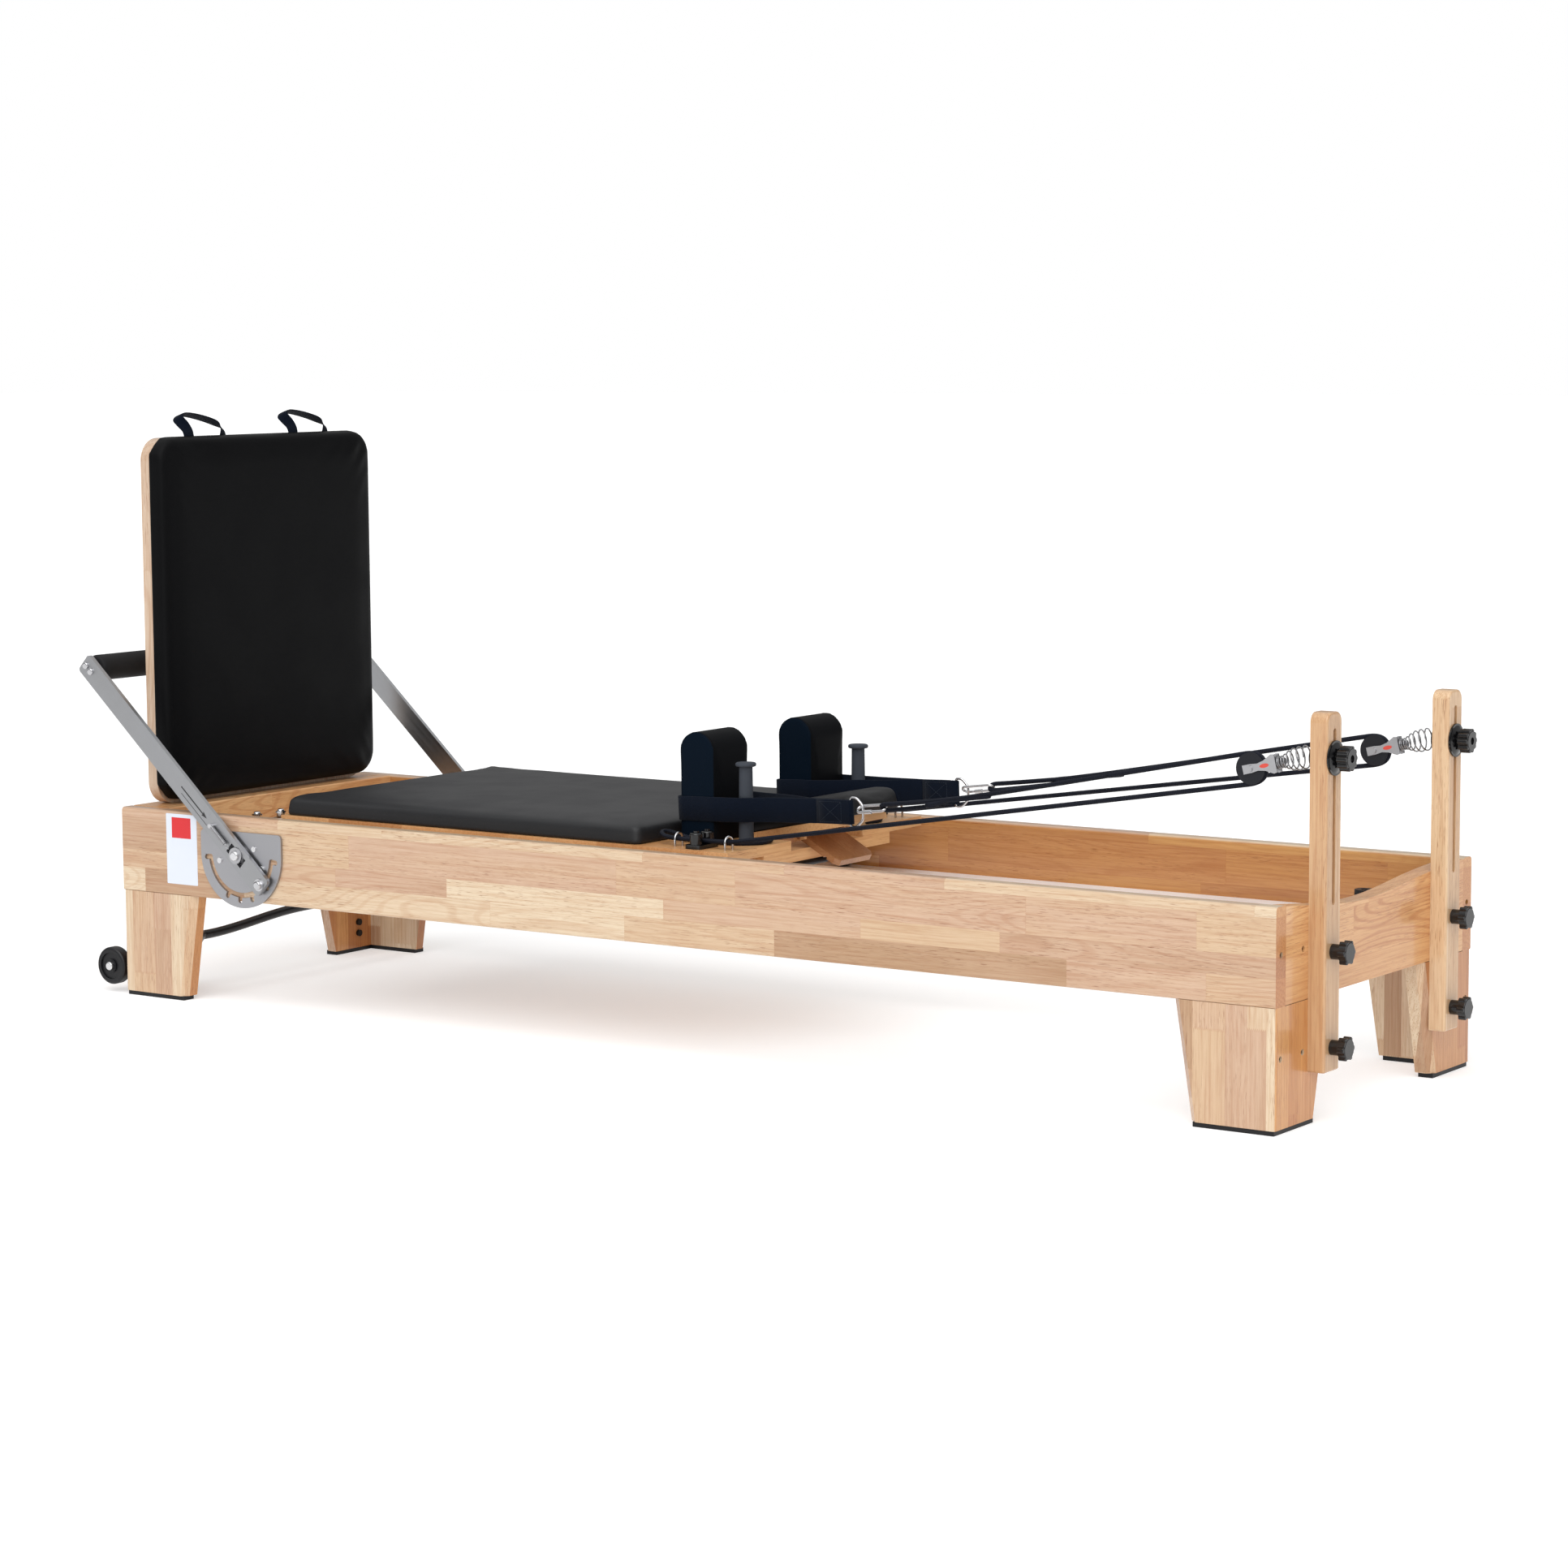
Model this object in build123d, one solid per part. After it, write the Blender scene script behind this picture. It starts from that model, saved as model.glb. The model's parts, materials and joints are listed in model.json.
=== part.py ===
from build123d import *
import math
import os

# Pilates reformer: a wooden bed frame with a padded carriage on tracks, a jumpboard
# and foot bar at one end, and two risers with rope pulleys at the other.
# Millimetres.  X runs from the foot end to the head end, Y across, Z up from the floor.
# Everything is drawn from the frame's foot end (X = 0) and moved to ORIGIN_X when saved.

# ---- driving dimensions -------------------------------------------------------------
LENGTH = 2400.0            # frame, foot end to head end
WIDTH = 690.0              # frame, outside the rails
RAIL_TOP = 352.0
RAIL_BOTTOM = 197.0
RAIL_THICK = 32.0
FOOT_PAD = 8.0

HALF = WIDTH / 2
RAIL_INNER = HALF - RAIL_THICK

LEG_X_TOP, LEG_X_FOOT = 179.0, 149.0      # leg arm along the rail, at its top and its foot
LEG_Y_TOP, LEG_Y_FOOT = 183.0, 138.0      # leg arm across the end
LEG_CHAMFER = 12.0

TRACK_TOP, TRACK_WIDE, TRACK_THICK = 254.0, 42.0, 5.0

RISER_Y, RISER_WIDE, RISER_DEEP = 214.0, 50.0, 29.0
RISER_BOTTOM, RISER_TOP = 83.0, 639.0
SLOT_LOW, SLOT_HIGH, SLOT_WIDE = 342.0, 614.0, 9.6
RISER_KNOB_Z = (121.0, 270.0)
CLAMP_Z, CLAMP_THICK = 568.5, 5.0          # near pulley's clamp in its slot, and its inner disc
FAR_DROP = 11.0                            # the far pulley is set this much lower

SHEAVE_X, SHEAVE_Z = 2288.0, 544.5
SHEAVE_RADIUS, SHEAVE_WIDE, ROPE_RADIUS = 25.0, 13.0, 4.0
GROOVE_RADIUS, CHEEK_Y = 5.3, (7.2, 9.2)
ROPE_ROUND = 21.8                          # radius of the rope's centre line on the sheave

PIVOT_X, PIVOT_Z = 300.0, 283.5            # foot bar pivot
ARM_ANGLE = 137.8                          # foot bar arms, degrees from +X towards +Z
BAR_REACH, BAR_PAD_RADIUS = 483.0, 24.5    # pivot to the middle of the cross bar, and its pad
KNOB_REACH = 30.0                          # how far the knobs stand out from the risers
LOCK_RADIUS, LOCK_TRAVEL = 74.0, 10.0      # lock pin in its arc slot, and its drop into a notch
PIN_RADIUS, ARC_SLOT = 4.0, 9.4
NOTCH_ANGLES = (-6.0, -42.2, -71.8, -92.5, -113.8, -174.0)

DECK_TOP, DECK_THICK = 355.0, 17.0
DECK_START, DECK_SPLIT, DECK_END, DECK_HALF = 355.0, 1195.0, 1350.0, 300.0
PLANK_INNER = 110.0
PAD_END, PAD_THICK = 1165.0, 37.0
WHEEL_RADIUS, AXLE_RADIUS = 20.0, 6.0
AXLE_X = (430.0, 1190.0)
AXLE_Z = TRACK_TOP + WHEEL_RADIUS + 0.3

HINGE_X, HINGE_Z, HEAD_TILT = 1203.0, 340.0, 11.5
HEAD_LONG, HEAD_PAD_LONG, HEAD_HALF = 222.0, 261.0, 77.0
PROP_REACH, PROP_BELOW, PROP_LONG, PROP_THICK, PROP_DROP = 130.0, 11.5, 85.0, 11.0, 29.0

REST_X = (1177.0, 1251.0)
REST_Y = (95.0, 199.0)
REST_TOP = 545.0
PEG_X, PEG_Y, PEG_TOP = 1298.6, 172.0, 493.0
CLEAT_X, CLEAT_Y = 1270.0, 262.0
GUIDE_X = (1222.0, 1326.0)

STRAP_WIDE, STRAP_THICK, STRAP_TILT = 42.0, 2.4, 1.8
RING_X, RING_Y, RING_Z = 1508.0, 165.0, 430.0
LINK_TWIST = 40.0                          # the snap hook's turn about its own length

BOARD_X = (17.0, 40.0, 77.0)               # jumpboard: back, face of the back, face of the pad
BOARD_HALF, BOARD_TOP, BOARD_CORNER = 300.0, 1040.0, 50.0
SOCKET_Y = 180.0
BOARD_STRAP_X = (-20.0, -15.0)             # the board's steel straps, in the sockets outside
HANDLE_Y = 144.0

# Route of the rope on the near side, from its loose end on the carriage, through the
# cleat, round the pulley and back to the loop in the snap hook.  The far one is its mirror,
# lowered at its pulley.
ROPE_ROUTE = [
    (1332.0, -146.0, 359.5), (1343.0, -172.0, 359.5), (1329.0, -199.0, 359.5),
    (1300.0, -216.0, 359.5), (1265.0, -223.0, 360.0), (1230.0, -223.5, 361.5),
    (1202.0, -223.0, 366.0), (1182.0, -227.5, 372.0), (1173.5, -242.0, 375.0),
    (1182.0, -257.5, 371.5), (1202.0, -262.5, 367.0), (1326.0, -262.0, 367.0),
    (2305.8, -214.0, 522.9), (2315.6, -214.0, 549.4), (2297.4, -214.0, 570.9),
    (1750.0, -183.0, 461.0), (1646.0, -177.0, 446.5), (1596.0, -175.4, 440.6),
    (1577.6, -175.2, 438.9), (1573.5, -170.6, 433.4), (1577.6, -166.0, 427.9),
    (1596.0, -165.4, 430.2), (1646.0, -170.0, 437.2), (1700.0, -176.5, 446.0),
]

# The machine's origin is on the floor, midway between the foot bar's pad and the knobs.
FOOT_BAR_END = PIVOT_X + BAR_REACH * math.cos(math.radians(ARM_ANGLE)) - BAR_PAD_RADIUS
ORIGIN_X = (FOOT_BAR_END + LENGTH + RISER_DEEP + KNOB_REACH) / 2


# ---- helpers ------------------------------------------------------------------------
def block(x0, x1, y0, y1, z0, z1):
    middle = ((x0 + x1) / 2, (y0 + y1) / 2, (z0 + z1) / 2)
    return Pos(*middle) * Box(x1 - x0, y1 - y0, z1 - z0)


def rod(start, end, radius):
    a, b = Vector(*start), Vector(*end)
    along = b - a
    low = (Align.CENTER, Align.CENTER, Align.MIN)
    return Plane(origin=a, z_dir=along.normalized()) * Cylinder(radius, along.length, align=low)


def cone(start, end, radius_start, radius_end):
    a, b = Vector(*start), Vector(*end)
    along = b - a
    low = (Align.CENTER, Align.CENTER, Align.MIN)
    place = Plane(origin=a, z_dir=along.normalized())
    return place * Cone(radius_start, radius_end, along.length, align=low)


def plate_xz(points, y0, y1):
    """A plate with an outline in X and Z, from y0 to y1."""
    outline = Plane.XZ * make_face(Polyline(*points, close=True))
    return Pos(0, y0, 0) * extrude(outline, amount=y1 - y0, dir=(0, 1, 0))


def plate_yz(points, x0, x1):
    """A plate with an outline in Y and Z, from x0 to x1."""
    outline = Plane.YZ * make_face(Polyline(*points, close=True))
    return Pos(x0, 0, 0) * extrude(outline, amount=x1 - x0, dir=(1, 0, 0))


def upright(edge):
    return abs(edge.tangent_at(0.5).Z) > 0.9


def mirrored(shape):
    return mirror(shape, about=Plane.XZ)


def pair(near):
    return [near, mirrored(near)]


def save(node, *solids):
    whole = Compound(label=node, children=[s for part in solids for s in part.solids()])
    export_step(whole.moved(Location((-ORIGIN_X, 0, 0))), os.path.join("parts", node + ".step"))


def arm_point(reach, across=0.0):
    """A point on the foot bar arm: reach from the pivot, and across its width."""
    a = math.radians(ARM_ANGLE)
    x = PIVOT_X + reach * math.cos(a) - across * math.sin(a)
    z = PIVOT_Z + reach * math.sin(a) + across * math.cos(a)
    return x, z


def pulley_point(along, across=0.0):
    """A point on the pulley's own line, from its axle towards its clamp."""
    a = math.atan2(CLAMP_Z - SHEAVE_Z, LENGTH - 15.0 - SHEAVE_X)
    x = SHEAVE_X + along * math.cos(a) - across * math.sin(a)
    z = SHEAVE_Z + along * math.sin(a) + across * math.cos(a)
    return x, z


# ---- frame --------------------------------------------------------------------------
def end_bolt_holes(x_face, inwards):
    """Counterbored holes for the corner bolts, in the end faces of the frame."""
    holes = []
    for z in (117.0, 277.0):
        for y in (HALF - 17, HALF - 89):
            holes += pair(rod((x_face, -y, z), (x_face + inwards * 10, -y, z), 5.0))
    return holes


def end_bolts(x_face, inwards):
    bolts = []
    for z in (117.0, 277.0):
        for y in (HALF - 17, HALF - 89):
            bolts += pair(rod((x_face + inwards * 4, -y, z), (x_face + inwards * 10, -y, z), 5.0))
    return bolts


def riser_stud_holes():
    holes = []
    for z in RISER_KNOB_Z:
        holes += pair(rod((LENGTH - 26, -RISER_Y, z), (LENGTH + 60, -RISER_Y, z), 5.05))
    return holes


def cut(shape, tools):
    for tool in tools:
        shape = shape - tool
    return shape


def side_rail():
    rail = block(0, LENGTH, -HALF, -RAIL_INNER, RAIL_BOTTOM, RAIL_TOP)
    long_edges = rail.edges().filter_by(Axis.X)
    rail = fillet(long_edges.sort_by(Axis.Z)[2:], 7)
    rail = fillet(rail.edges().filter_by(Axis.X).sort_by(Axis.Z)[:2], 2.5)
    return cut(rail, end_bolt_holes(0, 1) + end_bolt_holes(LENGTH, -1))


def head_board():
    """Cross board between the rails, with a shallow scoop in its top edge."""
    low, ends = RAIL_BOTTOM + 1, RAIL_TOP - 2
    scoop = Spline((-RAIL_INNER, ends), (-225, 341), (-110, 330.5), (-40, 328.5),
                   (50, 332.5), (140, 341), (225, 347), (RAIL_INNER, ends))
    sides = Polyline((RAIL_INNER, ends), (RAIL_INNER, low), (-RAIL_INNER, low), (-RAIL_INNER, ends))
    outline = Plane.YZ * make_face(scoop + sides)
    board = Pos(LENGTH - 32, 0, 0) * extrude(outline, amount=32, dir=(1, 0, 0))
    return cut(board, end_bolt_holes(LENGTH, -1) + riser_stud_holes())


def foot_end_boards():
    outer = block(0, 28, -RAIL_INNER, RAIL_INNER, RAIL_BOTTOM, RAIL_TOP)
    outer = cut(outer, end_bolt_holes(0, 1))
    inner = block(62, 90, -RAIL_INNER, RAIL_INNER, RAIL_BOTTOM, RAIL_TOP)
    inner = fillet(inner.edges().filter_by(Axis.Y).sort_by(Axis.Z)[2:], 3)
    ledge = block(28, 62, -RAIL_INNER, RAIL_INNER, RAIL_TOP - 28, RAIL_TOP)
    return [outer, inner, ledge]


def head_leg():
    """Corner leg: two tapering arms in an L, under the rail and the end board."""
    top, foot = RAIL_BOTTOM, FOOT_PAD
    along = plate_xz([(LENGTH, foot), (LENGTH, top), (LENGTH - LEG_X_TOP, top),
                      (LENGTH - LEG_X_FOOT, foot)], -HALF, -RAIL_INNER)
    along = chamfer(along.edges().filter_by(upright).sort_by(Axis.X)[:2].sort_by(Axis.Y)[:1],
                    LEG_CHAMFER)
    across = plate_yz([(-HALF, foot), (-HALF, top), (-HALF + LEG_Y_TOP, top),
                       (-HALF + LEG_Y_FOOT, foot)], LENGTH - RAIL_THICK, LENGTH)
    across = chamfer(across.edges().filter_by(upright).sort_by(Axis.Y)[2:].sort_by(Axis.X)[1:],
                     LEG_CHAMFER)
    leg = along + across
    corner = leg.edges().filter_by(Axis.Z).sort_by(Axis.X)[-1:]
    return fillet(corner, 6)


def foot_leg():
    return Pos(LENGTH, 0, 0) * mirror(head_leg(), about=Plane.YZ)


def foot_pads():
    """Rubber pads under the four legs."""
    inset, gap = 3.0, 6.0
    along = block(LENGTH - LEG_X_FOOT + gap, LENGTH - inset, -HALF + inset, -RAIL_INNER - inset,
                  0, FOOT_PAD)
    across = block(LENGTH - RAIL_THICK + inset, LENGTH - inset, -HALF + inset,
                   -HALF + LEG_Y_FOOT - gap, 0, FOOT_PAD)
    head = along + across
    foot = Pos(LENGTH, 0, 0) * mirror(head, about=Plane.YZ)
    return pair(head) + pair(foot)


def tracks():
    """Aluminium angles on the inside of the rails, where the carriage wheels roll."""
    inner, top, thick = RAIL_INNER - TRACK_WIDE, TRACK_TOP, TRACK_THICK
    x0, x1 = 92.0, LENGTH - 34.0
    shelf = block(x0, x1, -RAIL_INNER, -inner, top - thick, top)
    web = block(x0, x1, -RAIL_INNER, -RAIL_INNER + thick, top - 40, top)
    return pair(shelf + web)


def arc_points(radius, start, stop, steps):
    points = []
    for i in range(steps + 1):
        a = math.radians(start + (stop - start) * i / steps)
        points.append((PIVOT_X + radius * math.cos(a), PIVOT_Z + radius * math.sin(a)))
    return points


def arc_slot(y0, y1):
    """The foot bar's arc slot with its notches, as the space to cut away."""
    first, last = NOTCH_ANGLES[0], NOTCH_ANGLES[-1]
    half = ARC_SLOT / 2
    ring = rod((PIVOT_X, y0, PIVOT_Z), (PIVOT_X, y1, PIVOT_Z), LOCK_RADIUS + half)
    ring -= rod((PIVOT_X, y0 - 1, PIVOT_Z), (PIVOT_X, y1 + 1, PIVOT_Z), LOCK_RADIUS - half)
    wide = plate_xz([(PIVOT_X, PIVOT_Z)] + arc_points(200.0, first, last, 6), y0, y1)
    slot = ring & wide
    for angle in NOTCH_ANGLES:
        (x0, z0), = arc_points(LOCK_RADIUS, angle, angle, 1)[:1]
        (x1, z1), = arc_points(LOCK_RADIUS + LOCK_TRAVEL, angle, angle, 1)[:1]
        slot += rod((x0, y0, z0), (x0, y1, z0), half)
        slot += rod((x1, y0, z1), (x1, y1, z1), half)
        a = math.radians(angle)
        dx, dz = -half * math.sin(a), half * math.cos(a)
        slot += plate_xz([(x0 + dx, z0 + dz), (x1 + dx, z1 + dz), (x1 - dx, z1 - dz),
                          (x0 - dx, z0 - dz)], y0, y1)
    return slot


def quadrant():
    """Steel plate on the rail's outer face, with the foot bar's arc slot."""
    radius, top = 97.5, 325.0
    y0, y1 = -HALF - 5, -HALF
    disc = rod((PIVOT_X, y0, PIVOT_Z), (PIVOT_X, y1, PIVOT_Z), radius)
    lower = disc & block(PIVOT_X - 120, PIVOT_X + 120, y0, y1, 150, PIVOT_Z)
    upper = block(PIVOT_X - radius, PIVOT_X + radius, y0, y1, PIVOT_Z, top)
    upper = fillet(upper.edges().filter_by(Axis.Y).sort_by(Axis.Z)[2:], 8)
    plate = lower + upper - arc_slot(y0 - 1, y1 + 1)
    return plate - rod((PIVOT_X, y0 - 1, PIVOT_Z), (PIVOT_X, y1 + 1, PIVOT_Z), 5.0)


def frame_bolts():
    """Corner bolts, quadrant screws, wheel cap nuts and the foot bar's pivot bolts."""
    bolts = end_bolts(0, 1) + end_bolts(LENGTH, -1)
    cap = rod((WHEEL_X, AXLE_OUT, WHEEL_Z), (WHEEL_X, AXLE_OUT - 4.5, WHEEL_Z), 8.0)
    bolts += pair(fillet(cap.edges().sort_by(Axis.Y)[:1], 2.5))
    for x, z in ((333.0, 296.0), (249.0, 270.0), (352.0, 262.0)):
        bolts += pair(rod((x, -HALF - 5, z), (x, -HALF - 7.5, z), 5.0))
    shaft = rod((PIVOT_X, -HALF, PIVOT_Z), (PIVOT_X, -HALF - 21, PIVOT_Z), 5.0)
    head = rod((PIVOT_X, -HALF - 21, PIVOT_Z), (PIVOT_X, -HALF - 26, PIVOT_Z), 9.0)
    head = fillet(head.edges().sort_by(Axis.Y)[:1], 3.5)
    return bolts + pair(shaft + head)


def cross_tube():
    """Bowed stretcher between the foot-end legs, with a flange at each end."""
    x, radius = 145.0, 8.5
    half = [(90.0, 131.0), (200.0, 120.0), (RAIL_INNER - 3.0, 117.0)]
    points = [(x, -y, z) for y, z in reversed(half)] + [(x, 0, 135.0)] + [(x, y, z) for y, z in half]
    bow = Spline(*points)
    tube = sweep(Plane(origin=bow @ 0, z_dir=bow % 0) * Circle(radius), path=bow)
    low = half[-1][1]
    flange = cone((x, -RAIL_INNER, low), (x, -RAIL_INNER + 22, low), 21.0, 9.0)
    return tube + flange + mirrored(flange)


SPRING_Y = (-165.0, -55.0, 55.0, 165.0)
SPRING_Z, SPRING_RADIUS = 300.0, 13.0
SPRING_BAR_X, SPRING_HOOK_X = 205.0, 868.0


def spring_bar():
    """Steel bar across the foot end that the resistance springs hook on."""
    bar = block(SPRING_BAR_X, SPRING_BAR_X + 8, -RAIL_INNER, RAIL_INNER, 284, 326)
    end = block(SPRING_BAR_X + 8, SPRING_BAR_X + 40, -RAIL_INNER, -RAIL_INNER + 5, 284, 326)
    bar = bar + end + mirrored(end)
    for y in SPRING_Y:
        bar += rod((SPRING_BAR_X + 8, y, SPRING_Z), (SPRING_BAR_X + 18, y, SPRING_Z), 4.0)
    return bar


def resistance_springs():
    """The four coil springs under the carriage, each as a tube as heavy as its wire."""
    x0, x1 = SPRING_BAR_X + 18, SPRING_HOOK_X
    springs = []
    for y in SPRING_Y:
        coil = rod((x0, y, SPRING_Z), (x1, y, SPRING_Z), SPRING_RADIUS)
        springs.append(coil - rod((x0, y, SPRING_Z), (x1, y, SPRING_Z), SPRING_RADIUS - 2))
    return springs


STOP_BAR_X = (2242.0, 2282.0)
STOP_BAR_TOP = 258.0


def stop_bar():
    """Wooden cross bar between the tracks, near the head end."""
    inner = RAIL_INNER - TRACK_WIDE
    return block(*STOP_BAR_X, -inner, inner, STOP_BAR_TOP - 22, STOP_BAR_TOP)


def rubber_bumpers():
    x, y = sum(STOP_BAR_X) / 2, 230.0
    bumper = cone((x, -y, STOP_BAR_TOP), (x, -y, STOP_BAR_TOP + 42), 19.0, 16.0)
    bumper -= rod((x, -y, STOP_BAR_TOP + 18), (x, -y, STOP_BAR_TOP + 43), 6.0)
    return pair(bumper)


def stop_posts():
    """Bolts with spacers on the tracks: the carriage comes to rest against the inner pair."""
    posts = []
    for x, top, radius in ((287.0, 349.0, 5.0), (345.0, 358.0, 7.5)):
        post = rod((x, -290, TRACK_TOP), (x, -290, top), radius)
        washer = rod((x, -290, top), (x, -290, top + 2), 9.5)
        head = rod((x, -290, top + 2), (x, -290, top + 7), 6.5)
        head = fillet(head.edges().sort_by(Axis.Z)[-1:], 4)
        posts += pair(post + washer + head)
    return posts


def riser():
    """Upright post on the head end, slotted for the pulley's height."""
    y0, y1 = -RISER_Y - RISER_WIDE / 2, -RISER_Y + RISER_WIDE / 2
    post = block(LENGTH, LENGTH + RISER_DEEP, y0, y1, RISER_BOTTOM, RISER_TOP)
    post = fillet(post.edges().filter_by(Axis.X).sort_by(Axis.Z)[2:], 16)
    post = fillet(post.edges().filter_by(Axis.X).sort_by(Axis.Z)[:2], 4)
    post = fillet(post.faces().sort_by(Axis.X)[-1].edges(), 4)
    half = SLOT_WIDE / 2
    x0, x1 = LENGTH - 1, LENGTH + RISER_DEEP + 1
    slot = block(x0, x1, -RISER_Y - half, -RISER_Y + half, SLOT_LOW + half, SLOT_HIGH - half)
    for z in (SLOT_LOW + half, SLOT_HIGH - half):
        slot += rod((x0, -RISER_Y, z), (x1, -RISER_Y, z), half)
    return cut(post - slot, riser_stud_holes())


def soft_front(shape):
    """Rounds the circular edge that faces +X."""
    return fillet(shape.edges().sort_by(Axis.X)[-1:], 1.5)


def star_knob(x, y, z, stem, lobes, reach, bore):
    """Moulded knob: a stem against the post and a lobed grip, along +X."""
    knob = rod((x, y, z), (x + stem, y, z), 12.0)
    knob += soft_front(rod((x + stem, y, z), (x + reach, y, z), 16.5))
    for i in range(lobes):
        a = 2 * math.pi * i / lobes
        ly, lz = y + 15.5 * math.cos(a), z + 15.5 * math.sin(a)
        knob += soft_front(rod((x + stem, ly, lz), (x + reach - 0.7, ly, lz), 4.5))
    return knob - rod((x - 1, y, z), (x + reach - 6, y, z), bore)


def riser_knobs():
    """Studs through the post into the frame, each with its star knob."""
    solids = []
    for z in RISER_KNOB_Z:
        face = LENGTH + RISER_DEEP
        solids += pair(rod((LENGTH - 24, -RISER_Y, z), (face + 22, -RISER_Y, z), 5.0))
        solids += pair(star_knob(face, -RISER_Y, z, 17, 6, KNOB_REACH, 5.0))
    return solids


WHEEL_X, WHEEL_Z, WHEEL_R, WHEEL_Y = -40.0, 49.5, 35.0, (321.5, 344.5)
AXLE_OUT = -WHEEL_Y[1] - 1.5               # outer end of the near wheel's axle
EAR_Y = -WHEEL_Y[0] + 1.5                  # outer face of the near bracket's ear
BRACKET_BOLT_Y, BRACKET_BOLT_Z = -275.0, (37.0, 59.0)


def transport_wheel():
    y0, y1 = -WHEEL_Y[1], -WHEEL_Y[0]
    wheel = rod((WHEEL_X, y0, WHEEL_Z), (WHEEL_X, y1, WHEEL_Z), WHEEL_R)
    wheel = fillet(wheel.edges().filter_by(GeomType.CIRCLE), 5)
    for ya, yb in ((y0 - 1, y0 + 3), (y1 - 3, y1 + 1)):
        wheel -= (rod((WHEEL_X, ya, WHEEL_Z), (WHEEL_X, yb, WHEEL_Z), 25.0)
                  - rod((WHEEL_X, ya, WHEEL_Z), (WHEEL_X, yb, WHEEL_Z), 13.0))
    hub = rod((WHEEL_X, y0 - 0.8, WHEEL_Z), (WHEEL_X, y1 + 0.8, WHEEL_Z), 11.0)
    return wheel + hub - rod((WHEEL_X, y0 - 2, WHEEL_Z), (WHEEL_X, y1 + 2, WHEEL_Z), 5.05)


def bracket_bolt_holes():
    holes = []
    for z in BRACKET_BOLT_Z:
        holes += pair(rod((-1, BRACKET_BOLT_Y, z), (RAIL_THICK + 1, BRACKET_BOLT_Y, z), 4.05))
    return holes


def wheel_brackets():
    """Steel angles bolted to the foot-end legs, with an axle for each transport wheel."""
    base = block(-4, 0, EAR_Y, -258, 20, 78)
    ear = plate_xz([(-2, 20), (-2, 78), (WHEEL_X - 6, 63), (WHEEL_X - 13, 50), (WHEEL_X - 6, 36)],
                   EAR_Y, EAR_Y + 5)
    axle = rod((WHEEL_X, AXLE_OUT, WHEEL_Z), (WHEEL_X, EAR_Y + 5, WHEEL_Z), 5.0)
    nut = rod((WHEEL_X, EAR_Y + 5, WHEEL_Z), (WHEEL_X, EAR_Y + 10, WHEEL_Z), 7.5)
    bracket = base + ear + axle + nut
    for z in BRACKET_BOLT_Z:
        bracket += rod((-8, BRACKET_BOLT_Y, z), (-4, BRACKET_BOLT_Y, z), 6.5)
        bracket += rod((-4, BRACKET_BOLT_Y, z), (RAIL_THICK, BRACKET_BOLT_Y, z), 4.0)
        bracket += rod((RAIL_THICK, BRACKET_BOLT_Y, z), (RAIL_THICK + 5, BRACKET_BOLT_Y, z), 6.5)
    return pair(bracket)


def jumpboard_sockets():
    """Steel sockets on the end board that hold the jumpboard's two straps."""
    socket = block(-27, 0, -SOCKET_Y - 30, -SOCKET_Y + 30, 298, 346)
    socket = fillet(socket.edges().filter_by(Axis.Z).sort_by(Axis.X)[:2], 5)
    hole = block(-20.3, -14.7, -SOCKET_Y - 20.3, -SOCKET_Y + 20.3, 290, 350)
    return pair(socket - hole)


# ---- pulleys ------------------------------------------------------------------------
def pulley_clamp():
    """Clamp through the riser's slot: inner disc, threaded stud and outer flange."""
    face = LENGTH + RISER_DEEP
    x0, x1 = LENGTH - 0.3 - CLAMP_THICK, LENGTH - 0.3
    inner = rod((x0, -RISER_Y, CLAMP_Z), (x1, -RISER_Y, CLAMP_Z), 21.0)
    inner = fillet(inner.edges().sort_by(Axis.X)[:1], 2)
    stud = rod((x0 + 2, -RISER_Y, CLAMP_Z), (face + 20, -RISER_Y, CLAMP_Z), 4.7)
    flange = rod((face + 0.3, -RISER_Y, CLAMP_Z), (face + 3, -RISER_Y, CLAMP_Z), 27.0)
    flange += cone((face + 3, -RISER_Y, CLAMP_Z), (face + 8, -RISER_Y, CLAMP_Z), 24.0, 15.0)
    return inner + stud + flange


def pulley_knob():
    """Fluted grip on the clamp's stud, with a socket in its front."""
    start = LENGTH + RISER_DEEP + 8.3
    knob = star_knob(start, -RISER_Y, CLAMP_Z, 4, 10, KNOB_REACH - 8.3, 4.76)
    front = start + KNOB_REACH - 8.3
    return knob - rod((front - 4, -RISER_Y, CLAMP_Z), (front + 1, -RISER_Y, CLAMP_Z), 6.0)


def pulley_spring():
    """Coil spring between the clamp's disc and the pulley, as a hollow cone."""
    x0, z0 = pulley_point(46.8)
    x1, z1 = pulley_point(101.0)
    small, large = (x0, -RISER_Y, z0), (x1, -RISER_Y, z1)
    return cone(small, large, 10.0, 19.0) - cone(small, large, 8.0, 17.0)


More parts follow.
